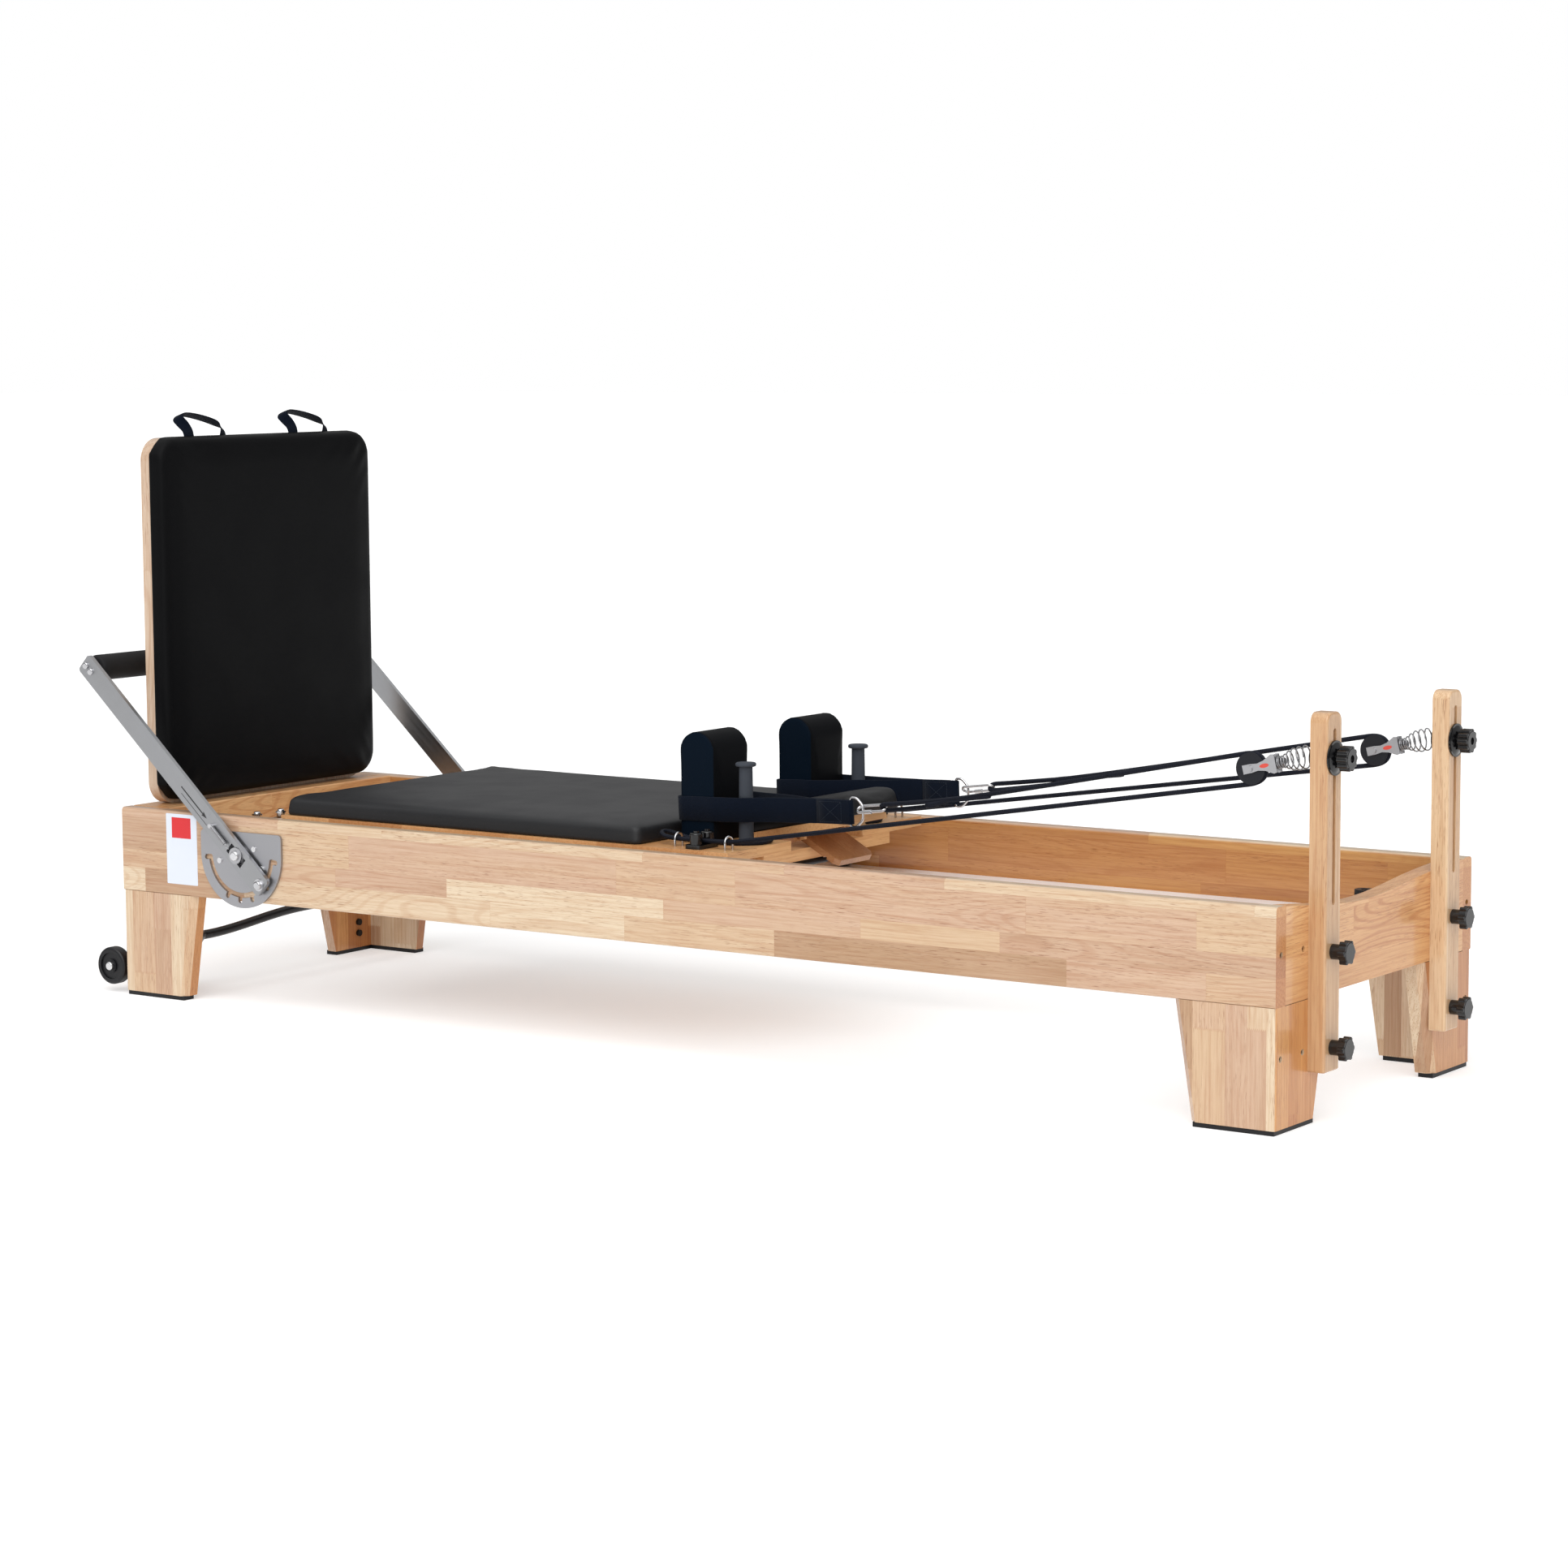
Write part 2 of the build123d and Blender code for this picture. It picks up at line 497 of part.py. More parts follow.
def pulley_block():
    """Two cheek plates, the axle between them and the neck behind the sheave."""
    outline = [(-12, -7), (2, -7), (14, -5.5), (26, -8), (40, -15), (46, -14),
               (46, 14), (40, 15), (26, 8), (14, 5.5), (2, 7), (-12, 7)]
    points = [pulley_point(u, v) for u, v in outline]
    solid = None
    inner, outer = CHEEK_Y
    for y0, y1 in ((-outer, -inner), (inner, outer)):
        cheek = plate_xz(points, -RISER_Y + y0, -RISER_Y + y1)
        solid = cheek if solid is None else solid + cheek
    neck = plate_xz([pulley_point(u, v) for u, v in ((37, -9), (46, -9), (46, 9), (37, 9))],
                    -RISER_Y - inner, -RISER_Y + inner)
    (xa, za), (xb, zb) = pulley_point(46), pulley_point(58)
    eye = rod((xa, -RISER_Y, za), (xb, -RISER_Y, zb), 6.0)
    axle = rod((SHEAVE_X, -RISER_Y - outer, SHEAVE_Z), (SHEAVE_X, -RISER_Y + outer, SHEAVE_Z), 4.0)
    solid = solid + neck + eye + axle
    for y0, y1 in ((-outer - 2.5, -outer), (outer, outer + 2.5)):
        solid += rod((SHEAVE_X, -RISER_Y + y0, SHEAVE_Z), (SHEAVE_X, -RISER_Y + y1, SHEAVE_Z), 5.0)
    return solid


def sheave():
    half = SHEAVE_WIDE / 2
    disc = rod((0, -half, 0), (0, half, 0), SHEAVE_RADIUS)
    groove = Rot(90, 0, 0) * Torus(ROPE_ROUND, GROOVE_RADIUS)
    mouth = rod((0, -GROOVE_RADIUS, 0), (0, GROOVE_RADIUS, 0), 40.0)
    mouth -= rod((0, -9, 0), (0, 9, 0), ROPE_ROUND)
    wheel = disc - groove - mouth - rod((0, -9, 0), (0, 9, 0), 4.05)
    return Pos(SHEAVE_X, -RISER_Y, SHEAVE_Z) * wheel


# ---- foot bar -----------------------------------------------------------------------
ARM_Y = (HALF + 10.0, HALF + 18.0)         # the arm's inner and outer face
ARM_HALF = 20.0


def arm_outline():
    """Flat bar from the lock pin's tail to the cross bar, with rounded ends."""
    tail, tip = -(LOCK_RADIUS + 16.0), BAR_REACH + 18.0
    corners = [arm_point(tail + 4, -ARM_HALF), arm_point(tip, -ARM_HALF),
               arm_point(tip, ARM_HALF), arm_point(tail + 4, ARM_HALF)]
    return corners


def footbar_arm():
    y0, y1 = -ARM_Y[1], -ARM_Y[0]
    arm = plate_xz(arm_outline(), y0, y1)
    arm = fillet(arm.edges().filter_by(Axis.Y), 7)
    window = [arm_point(r, s) for r, s in ((-22.0, -10.1), (22.0, -10.1), (22.0, 10.1),
                                           (-22.0, 10.1))]
    x, z = arm_point(-LOCK_RADIUS)
    pin_hole = rod((x, y0 - 1, z), (x, y1 + 1, z), PIN_RADIUS)
    return arm - plate_xz(window, y0 - 1, y1 + 1) - pin_hole


def slide_blocks():
    """Bushes on the pivot bolts: the arms slide on their flats to lift the lock pins."""
    y_in, y_out = -HALF - 5.3, -HALF - 20.6
    flats = [arm_point(r, s) for r, s in ((-10, -10), (10, -10), (10, 10), (-10, 10))]
    solid = plate_xz(flats, y_out, y_in)
    solid += rod((PIVOT_X, -HALF - 9.6, PIVOT_Z), (PIVOT_X, y_in, PIVOT_Z), 17.0)
    solid += rod((PIVOT_X, y_out, PIVOT_Z), (PIVOT_X, -HALF - 18.4, PIVOT_Z), 15.0)
    solid -= rod((PIVOT_X, -HALF - 30, PIVOT_Z), (PIVOT_X, -HALF, PIVOT_Z), 5.05)
    return pair(solid)


def footbar_bolts():
    """Lock pins, spring studs and the bolts that hold the cross bar."""
    bolts = []
    x, z = arm_point(-LOCK_RADIUS)
    pin = rod((x, -HALF - 0.8, z), (x, -ARM_Y[1], z), PIN_RADIUS)
    pin += rod((x, -ARM_Y[1] - 2, z), (x, -ARM_Y[1], z), 11.0)
    knob = rod((x, -ARM_Y[1] - 8, z), (x, -ARM_Y[1] - 2, z), 8.0)
    pin += fillet(knob.edges().sort_by(Axis.Y)[:1], 3)
    bolts += pair(pin)
    x, z = arm_point(76.0)
    bolts += pair(rod((x, -ARM_Y[1] - 8, z), (x, -ARM_Y[1], z), 4.0))
    for reach in (BAR_REACH - 8, BAR_REACH + 8):
        x, z = arm_point(reach)
        head = rod((x, -ARM_Y[1] - 5, z), (x, -ARM_Y[1], z), 6.5)
        bolts += pair(fillet(head.edges().sort_by(Axis.Y)[:1], 2.5))
    return bolts


def arm_springs():
    """Small springs from each arm's stud to its pivot, as their outer shape."""
    (xa, za), (xb, zb) = arm_point(17.5), arm_point(71.5)
    y = -ARM_Y[1] - 4.6
    return pair(rod((xa, y, za), (xb, y, zb), 4.2))


def footbar_tube():
    x, z = arm_point(BAR_REACH)
    ends = (x, -ARM_Y[0], z), (x, ARM_Y[0], z)
    return rod(*ends, 12.5) - rod(*ends, 10.5)


def footbar_pad():
    x, z = arm_point(BAR_REACH)
    end = ARM_Y[0] - 9.0
    pad = rod((x, -end, z), (x, end, z), BAR_PAD_RADIUS)
    pad = fillet(pad.edges().filter_by(GeomType.CIRCLE), 7)
    return pad - rod((x, -end - 1, z), (x, end + 1, z), 12.5)


# ---- jumpboard ----------------------------------------------------------------------
def rounded_board(x0, x1, half, z0, z1, corner):
    board = block(x0, x1, -half, half, z0, z1)
    return fillet(board.edges().filter_by(Axis.X), corner)


def jumpboard_back():
    return rounded_board(BOARD_X[0], BOARD_X[1], BOARD_HALF - 10, RAIL_TOP + 0.4, BOARD_TOP - 8,
                         BOARD_CORNER - 8)


def jumpboard_pad():
    pad = rounded_board(BOARD_X[1], BOARD_X[2], BOARD_HALF, RAIL_TOP + 2, BOARD_TOP, BOARD_CORNER)
    return fillet(pad.faces().sort_by(Axis.X)[-1].edges(), 12)


def jumpboard_handles():
    """Two webbing loops on the top edge, for lifting the board out."""
    x0, x1, thick = BOARD_X[1] + 4, BOARD_X[1] + 29, 3.0
    solids = []
    for middle in (-HANDLE_Y, HANDLE_Y):
        loop = block(x0, x1, middle - 50, middle + 50, BOARD_TOP - 0.5, BOARD_TOP + 37)
        loop = fillet(loop.edges().filter_by(Axis.X).sort_by(Axis.Z)[2:], 22)
        gap = block(x0 - 1, x1 + 1, middle - 50 + thick, middle + 50 - thick, BOARD_TOP - 1,
                    BOARD_TOP + 37 - thick)
        gap = fillet(gap.edges().filter_by(Axis.X).sort_by(Axis.Z)[2:], 22 - thick)
        foot = block(x0, x1, middle - 58, middle + 58, BOARD_TOP, BOARD_TOP + 1.5)
        solids.append(loop - gap - block(0, 90, -400, 400, BOARD_TOP - 9, BOARD_TOP) + (foot - gap))
    return solids


def jumpboard_straps():
    """Flat steel straps on spacers behind the board, which drop into the sockets."""
    x0, x1 = BOARD_STRAP_X
    strap = block(x0, x1, -SOCKET_Y - 20, -SOCKET_Y + 20, 300, 450)
    for z in (385.0, 425.0):
        strap += rod((x0 - 3, -SOCKET_Y, z), (x0, -SOCKET_Y, z), 6.0)
        strap += rod((x1, -SOCKET_Y, z), (BOARD_X[0], -SOCKET_Y, z), 9.0)
    return pair(strap)


# ---- carriage -----------------------------------------------------------------------
BEAM_TOP = DECK_TOP - DECK_THICK
BEAM_THICK = 20.0


def carriage_frame():
    """Deck board, the two planks beside the headrest, and the cross beams below."""
    z0, z1 = BEAM_TOP, DECK_TOP
    deck = block(DECK_START, DECK_SPLIT, -DECK_HALF, DECK_HALF, z0, z1)
    plank = block(DECK_SPLIT, DECK_END, -DECK_HALF, -PLANK_INNER, z0, z1)
    plank = fillet(plank.edges().filter_by(Axis.Z).sort_by(Axis.X)[2:], 3)
    beams = []
    for x0, x1, half in ((DECK_START + 5, DECK_START + 40, 225.0), (1285.0, DECK_END, 194.0)):
        beams.append(block(x0, x1, -half, half, z0 - BEAM_THICK, z0))
    return [deck] + pair(plank) + beams


def carriage_pad():
    pad = block(DECK_START, PAD_END, -DECK_HALF, DECK_HALF, DECK_TOP, DECK_TOP + PAD_THICK)
    pad = fillet(pad.edges().filter_by(Axis.Z), 12)
    return fillet(pad.faces().sort_by(Axis.Z)[-1].edges(), 11)


def carriage_brackets():
    """Axle plates, the springs' hook plate and the headrest's hinge."""
    solids = []
    for x in AXLE_X:
        plate = plate_xz([(x - 32, BEAM_TOP), (x + 32, BEAM_TOP), (x + 14, AXLE_Z - 12),
                          (x - 14, AXLE_Z - 12)], -268, -262)
        plate += block(x - 32, x + 32, -262, -236, BEAM_TOP - 5, BEAM_TOP)
        plate -= rod((x, -270, AXLE_Z), (x, -260, AXLE_Z), AXLE_RADIUS + 0.05)
        solids += pair(plate)
    hook = block(SPRING_HOOK_X, SPRING_HOOK_X + 6, -200, 200, SPRING_Z - 16, BEAM_TOP)
    hook += block(SPRING_HOOK_X + 6, SPRING_HOOK_X + 40, -200, 200, BEAM_TOP - 5, BEAM_TOP)
    solids.append(hook)
    solids.append(rod((HINGE_X, -78, HINGE_Z), (HINGE_X, 78, HINGE_Z), 3.0))
    ear = block(DECK_SPLIT, HINGE_X, -82, -80.4, HINGE_Z - 5, HINGE_Z + 5)
    ear += rod((HINGE_X, -82, HINGE_Z), (HINGE_X, -78, HINGE_Z), 5.0)
    solids[-1] = solids[-1] + ear + mirrored(ear)
    return solids


def axle_set(x):
    """A cross axle with its two wheels."""
    axle = rod((x, -300, AXLE_Z), (x, 300, AXLE_Z), AXLE_RADIUS)
    wheel = rod((x, -298, AXLE_Z), (x, -276, AXLE_Z), WHEEL_RADIUS)
    wheel = fillet(wheel.edges().filter_by(GeomType.CIRCLE), 2.5)
    wheel -= rod((x, -301, AXLE_Z), (x, -270, AXLE_Z), AXLE_RADIUS)
    return [axle] + pair(wheel)


def shoulder_rest():
    """Padded block with an arched top, on the deck beside the headrest."""
    (x0, x1), (ya, yb) = REST_X, REST_Y
    radius = (x1 - x0) / 2
    body = block(x0, x1, -yb, -ya, DECK_TOP, REST_TOP - radius)
    middle = (x0 + x1) / 2
    arch = rod((middle, -yb, REST_TOP - radius), (middle, -ya, REST_TOP - radius), radius)
    return body + arch


def rest_peg():
    """Foam-covered peg behind the shoulder rest, that the strap is looped over."""
    peg = cone((PEG_X, -PEG_Y, DECK_TOP), (PEG_X, -PEG_Y, PEG_TOP - 7), 13.0, 11.5)
    cap = rod((PEG_X, -PEG_Y, PEG_TOP - 7), (PEG_X, -PEG_Y, PEG_TOP), 17.8)
    return peg + fillet(cap.edges().filter_by(GeomType.CIRCLE), 3)


def cleat():
    """Cam cleat that holds the rope: a base and two toothed cams beside the rope."""
    base = block(CLEAT_X - 17, CLEAT_X + 17, -CLEAT_Y - 29, -CLEAT_Y + 29, DECK_TOP, DECK_TOP + 7)
    base = fillet(base.edges().filter_by(Axis.Z), 8)
    solid = base
    for y in (-CLEAT_Y - 15.8, -CLEAT_Y + 15.8):
        cam = rod((CLEAT_X, y, DECK_TOP + 7), (CLEAT_X, y, DECK_TOP + 27), 11.0)
        cam = fillet(cam.edges().sort_by(Axis.Z)[-1:], 3)
        solid += cam + rod((CLEAT_X, y, DECK_TOP + 27), (CLEAT_X, y, DECK_TOP + 30), 4.5)
    return solid


def wire_guide(x):
    """Bent wire hoop that keeps the rope in line with the cleat."""
    y, spring_line, half = -CLEAT_Y, DECK_TOP + 11.5, 11.0
    hoop = [Line((x, y - half, DECK_TOP), (x, y - half, spring_line)),
            ThreePointArc((x, y - half, spring_line), (x, y, spring_line + half),
                          (x, y + half, spring_line)),
            Line((x, y + half, spring_line), (x, y + half, DECK_TOP))]
    path = Wire(hoop)
    return sweep(Plane(origin=(x, y - half, DECK_TOP), z_dir=(0, 0, 1)) * Circle(2.0), path=path)


def d_ring():
    """D-shaped ring, its straight side in the fold of the strap."""
    half, wire, reach = 24.5, 2.2, 25.0
    y, z0, z1 = -RING_Y, RING_Z - 9.5 - half, RING_Z - 9.5 + half
    corners = [(RING_X, y, z0), (RING_X, y, z1), (RING_X + 12, y, z1), (RING_X + reach, y, z1 - 13),
               (RING_X + reach, y, z0 + 13), (RING_X + 12, y, z0)]
    path = FilletPolyline(*corners, radius=[4, 4, 12, 14, 14, 12], close=True)
    start = Plane(origin=path @ 0, z_dir=path % 0)
    return sweep(start * Circle(wire), path=path)


def snap_hook():
    """Oval snap hook between the D-ring and the rope's loop."""
    half, wire, long = 7.6, 2.3, 60.0
    straight = long - 2 * half
    x, y, z = 0.0, 0.0, 0.0
    path = Wire([Line((x, y - half, z), (x + straight, y - half, z)),
                 ThreePointArc((x + straight, y - half, z), (x + straight + half, y, z),
                               (x + straight, y + half, z)),
                 Line((x + straight, y + half, z), (x, y + half, z)),
                 ThreePointArc((x, y + half, z), (x - half, y, z), (x, y - half, z))])
    oval = sweep(Plane(origin=(x, y - half, z), z_dir=(1, 0, 0)) * Circle(wire), path=path)
    nut = rod((12, -half, 0), (26, -half, 0), 3.6)
    place = Pos(RING_X + 22.0, -RING_Y - 1.0, RING_Z - 3.0) * Rot(0, -7.0, -5.0)
    return place * Rot(LINK_TWIST, 0, 0) * (oval + nut)


def rope_hardware():
    solids = pair(d_ring()) + pair(snap_hook())
    for x in GUIDE_X:
        solids += pair(wire_guide(x))
    return solids


def strap():
    """Webbing loop round the shoulder rest and its peg, sewn flat at the D-ring."""
    gap, side = 1.8, 0.8
    (x0, x1), (ya, yb) = REST_X, REST_Y
    inside = Polyline((x0 - gap, -yb - side), (x1 + gap, -yb - side), (1446, -RING_Y - 0.2),
                      (1446, -RING_Y + 0.2), (x1 + gap, -ya + side), (x0 - gap, -ya + side),
                      close=True)
    hole = make_face(inside)
    band = offset(hole, amount=STRAP_THICK, kind=Kind.ARC) - hole
    band = extrude(band, amount=STRAP_WIDE)
    sewn = block(1447, RING_X - 5.0, -RING_Y - STRAP_THICK, -RING_Y + STRAP_THICK, 0, STRAP_WIDE)
    fold = rod((RING_X, -RING_Y, 0), (RING_X, -RING_Y, STRAP_WIDE), 5.6)
    fold -= rod((RING_X, -RING_Y, -1), (RING_X, -RING_Y, STRAP_WIDE + 1), 3.2)
    loop = Pos(0, 0, RING_Z - 9.5 - STRAP_WIDE / 2) * (band + sewn + fold)
    about = Pos(RING_X, 0, RING_Z - 9.5)
    return about * Rot(0, -STRAP_TILT, 0) * Pos(-RING_X, 0, -RING_Z + 9.5) * loop


# ---- headrest -----------------------------------------------------------------------
def tilted(shape):
    """From the headrest's own flat frame, with its hinge at the origin, to its place."""
    return Pos(HINGE_X, 0, HINGE_Z) * Rot(0, -HEAD_TILT, 0) * shape


def headrest_board():
    board = block(5, HEAD_LONG, -HEAD_HALF, HEAD_HALF, -5, 10)
    knuckle = rod((0, -74, 0), (0, 74, 0), 4.6) + block(0, 8, -74, 74, -4.6, -0.5)
    hinge = rod((0, -79, 0), (0, 79, 0), 3.05)
    lug = block(PROP_REACH - 12, PROP_REACH + 12, 58, 64, -PROP_BELOW - 5, -5)
    lug -= rod((PROP_REACH, 55, -PROP_BELOW), (PROP_REACH, 66, -PROP_BELOW), 3.05)
    board = board + knuckle + lug + mirrored(lug) - hinge
    return tilted(board)


def headrest_pad():
    pad = block(2, HEAD_PAD_LONG, -HEAD_HALF, HEAD_HALF, 10.3, 50)
    pad = fillet(pad.edges().filter_by(Axis.Z), 14)
    return tilted(fillet(pad.faces().sort_by(Axis.Z)[-1].edges(), 12))


def headrest_prop():
    """Wooden leaf under the headrest that stands on the cross beam."""
    half = PROP_THICK / 2
    leaf = block(0, PROP_LONG, -56, 56, -half, half)
    leaf = chamfer(leaf.edges().filter_by(Axis.Z).sort_by(Axis.X)[2:], 9)
    leaf -= block(56, 62, -60, 60, -half - 1, -half + 3)
    leaf += rod((0, -56, 0), (0, 56, 0), half) + rod((0, -66, 0), (0, 66, 0), 3.0)
    return tilted(Pos(PROP_REACH, 0, -PROP_BELOW) * Rot(0, HEAD_TILT + PROP_DROP, 0) * leaf)


# ---- ropes --------------------------------------------------------------------------
def rope_radii(points):
    """Largest arc for each corner, from its shorter run and its turn."""
    radii = []
    for a, b, c in zip(points, points[1:], points[2:]):
        run_in, run_out = Vector(*b) - Vector(*a), Vector(*c) - Vector(*b)
        half_turn = math.radians(run_in.get_angle(run_out)) / 2
        radii.append(0.45 * min(run_in.length, run_out.length) / math.tan(half_turn))
    return radii


def far_route():
    """The near route, lowered towards the pulley and mirrored."""
    route = []
    for x, y, z in ROPE_ROUTE:
        share = min(1.0, max(0.0, (x - 1646.0) / (SHEAVE_X - 1646.0)))
        route.append((x, -y, z - FAR_DROP * share))
    return route


def rope(route):
    radii = rope_radii(route)
    path = FilletPolyline(*route, radius=radii)
    start = Plane(origin=path @ 0, z_dir=path % 0)
    tube = sweep(start * Circle(ROPE_RADIUS), path=path)
    wanted = math.pi * ROPE_RADIUS ** 2 * path.length
    print("rope length", round(path.length), "radii", [round(r, 1) for r in radii],
          "volume ratio", round(tube.volume / wanted, 4))
    return tube


# ---- write the parts ----------------------------------------------------------------
def both(name, near):
    save(name + "_near", near)
    save(name + "_far", mirrored(near))


def both_pulleys(name, near):
    save(name + "_near", near)
    save(name + "_far", Pos(0, 0, -FAR_DROP) * mirrored(near))


def write_frame():
    both("side_rail", side_rail())
    save("head_board", head_board())
    save("foot_end_boards", *foot_end_boards())
    both("leg_head", cut(head_leg(), end_bolt_holes(LENGTH, -1) + riser_stud_holes()))
    both("leg_foot", cut(foot_leg(), end_bolt_holes(0, 1) + bracket_bolt_holes()))
    save("foot_pads", *foot_pads())
    save("tracks", *tracks())
    save("quadrants", *pair(quadrant()))
    save("frame_bolts", *frame_bolts())
    save("cross_tube", cross_tube())
    save("spring_bar", spring_bar())
    save("stop_bar", stop_bar())
    save("rubber_bumpers", *rubber_bumpers())
    save("stop_posts", *stop_posts())
    save("risers", *pair(riser()))
    save("riser_knobs", *riser_knobs())
    save("wheel_brackets", *wheel_brackets())
    save("jumpboard_sockets", *jumpboard_sockets())


def write_moving_ends():
    both("transport_wheel", transport_wheel())
    both_pulleys("pulley_clamp", pulley_clamp())
    both_pulleys("pulley_spring", pulley_spring())
    both_pulleys("pulley_block", pulley_block())
    both_pulleys("sheave", sheave())
    both_pulleys("pulley_knob", pulley_knob())
    save("footbar_arms", *pair(footbar_arm()))
    save("footbar_tube", footbar_tube())
    save("footbar_pad", footbar_pad())
    save("footbar_bolts", *footbar_bolts())
    save("slide_blocks", *slide_blocks())
    save("arm_springs", *arm_springs())
    save("jumpboard_back", jumpboard_back())
    save("jumpboard_pad", jumpboard_pad())
    save("jumpboard_handles", *jumpboard_handles())
    save("jumpboard_straps", *jumpboard_straps())


def write_carriage():
    save("carriage_frame", *carriage_frame())
    save("carriage_pad", carriage_pad())
    save("carriage_brackets", *carriage_brackets())
    save("axle_set_foot", *axle_set(AXLE_X[0]))
    save("axle_set_head", *axle_set(AXLE_X[1]))
    save("shoulder_rests", *pair(shoulder_rest()))
    save("rest_pegs", *pair(rest_peg()))
    save("cleats", *pair(cleat()))
    save("rope_hardware", *rope_hardware())
    save("straps", *pair(strap()))
    save("rope_near", rope(ROPE_ROUTE))
    save("rope_far", rope(far_route()))
    save("resistance_springs", *resistance_springs())
    save("headrest_board", headrest_board())
    save("headrest_pad", headrest_pad())
    save("headrest_prop", headrest_prop())


os.makedirs("parts", exist_ok=True)
write_frame()
write_moving_ends()
write_carriage()
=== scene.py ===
"""Pilates reformer: looks, soft parts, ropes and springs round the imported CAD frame.

Metres, in the CAD's frame.  X runs from the foot bar to the pulleys, Z up from the floor.
Lengths given "from the foot end" start at the outer face of the frame's foot end.
"""
import json
import math

import bmesh
import bpy
import numpy as np
from mathutils import Matrix, Vector, noise
from mathutils.bvhtree import BVHTree


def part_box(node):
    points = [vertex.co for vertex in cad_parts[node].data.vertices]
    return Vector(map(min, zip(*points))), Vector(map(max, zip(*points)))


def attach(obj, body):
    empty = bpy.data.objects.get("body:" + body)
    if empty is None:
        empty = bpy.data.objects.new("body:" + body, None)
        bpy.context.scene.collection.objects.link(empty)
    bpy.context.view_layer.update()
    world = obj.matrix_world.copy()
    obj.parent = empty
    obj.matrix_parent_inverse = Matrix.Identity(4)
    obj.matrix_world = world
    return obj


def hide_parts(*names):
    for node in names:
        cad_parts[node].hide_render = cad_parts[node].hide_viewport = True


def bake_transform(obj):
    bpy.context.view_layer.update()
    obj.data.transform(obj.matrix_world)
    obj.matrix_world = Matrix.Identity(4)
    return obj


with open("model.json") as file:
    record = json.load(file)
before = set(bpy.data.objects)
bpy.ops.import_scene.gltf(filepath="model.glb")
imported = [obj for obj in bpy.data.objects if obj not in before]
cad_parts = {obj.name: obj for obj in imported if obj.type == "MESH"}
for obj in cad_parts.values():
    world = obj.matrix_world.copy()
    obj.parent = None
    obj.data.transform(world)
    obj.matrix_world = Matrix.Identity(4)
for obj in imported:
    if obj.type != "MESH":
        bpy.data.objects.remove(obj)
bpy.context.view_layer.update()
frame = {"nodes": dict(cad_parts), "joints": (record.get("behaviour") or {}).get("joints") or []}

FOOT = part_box("side_rail_near")[0][0]      # x of the frame's foot end
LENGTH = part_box("risers")[0][0] - FOOT      # of the frame, to the face that the risers are on


def at(x, y, z):
    """A point given from the foot end."""
    return Vector((FOOT + x, y, z))


def middle(node):
    low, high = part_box(node)
    return (Vector(low) + Vector(high)) / 2


def link(name, data):
    """A new object in the scene."""
    made = bpy.data.objects.new(name, data)
    bpy.context.scene.collection.objects.link(made)
    return made


def evaluated(piece):
    return piece.evaluated_get(bpy.context.evaluated_depsgraph_get())


def new_mesh(name, vertices, faces):
    mesh = bpy.data.meshes.new(name)
    mesh.from_pydata([tuple(v) for v in vertices], [], faces)
    return mesh


def mesh_of(name, shape):
    """A mesh from a bmesh, which is freed."""
    mesh = bpy.data.meshes.new(name)
    shape.to_mesh(mesh)
    shape.free()
    return mesh


# ---- camera, floor and light ---------------------------------------------------------
CAMERA_AT = at(5.10859, -5.53670, 1.21666)
CAMERA_YAW, CAMERA_PITCH, CAMERA_ROLL = 34.819, 6.599, -0.382      # degrees
CAMERA_LENS = 89.43
SKY_LIGHT = 0.62
FLOOR_GLOW, FLOOR_REACH = 0.42, 60.0


def add_camera():
    yaw, pitch, roll = (math.radians(a) for a in (CAMERA_YAW, CAMERA_PITCH, CAMERA_ROLL))
    ahead = Vector((-math.sin(yaw) * math.cos(pitch), math.cos(yaw) * math.cos(pitch),
                    -math.sin(pitch)))
    right = Vector((math.cos(yaw), math.sin(yaw), 0))
    up = right.cross(ahead)
    turned_right = right * math.cos(roll) + up * math.sin(roll)
    turned_up = up * math.cos(roll) - right * math.sin(roll)
    camera = link("camera", bpy.data.cameras.new("camera"))
    turn = Matrix((turned_right, turned_up, -ahead)).transposed().to_4x4()
    camera.matrix_world = Matrix.Translation(CAMERA_AT) @ turn
    camera.data.lens = CAMERA_LENS
    camera.data.sensor_width = 36
    bpy.context.scene.camera = camera


def add_light(name, kind, place, target, power, size):
    """A soft lamp: size is a square's side for an area light, or a sun's spread in degrees."""
    light = link(name, bpy.data.lights.new(name, kind))
    light.data.energy = power
    if kind == "AREA":
        light.data.size = size
    else:
        light.data.angle = math.radians(size)
    light.location = place
    light.rotation_euler = (Vector(target) - Vector(place)).to_track_quat("-Z", "Y").to_euler()


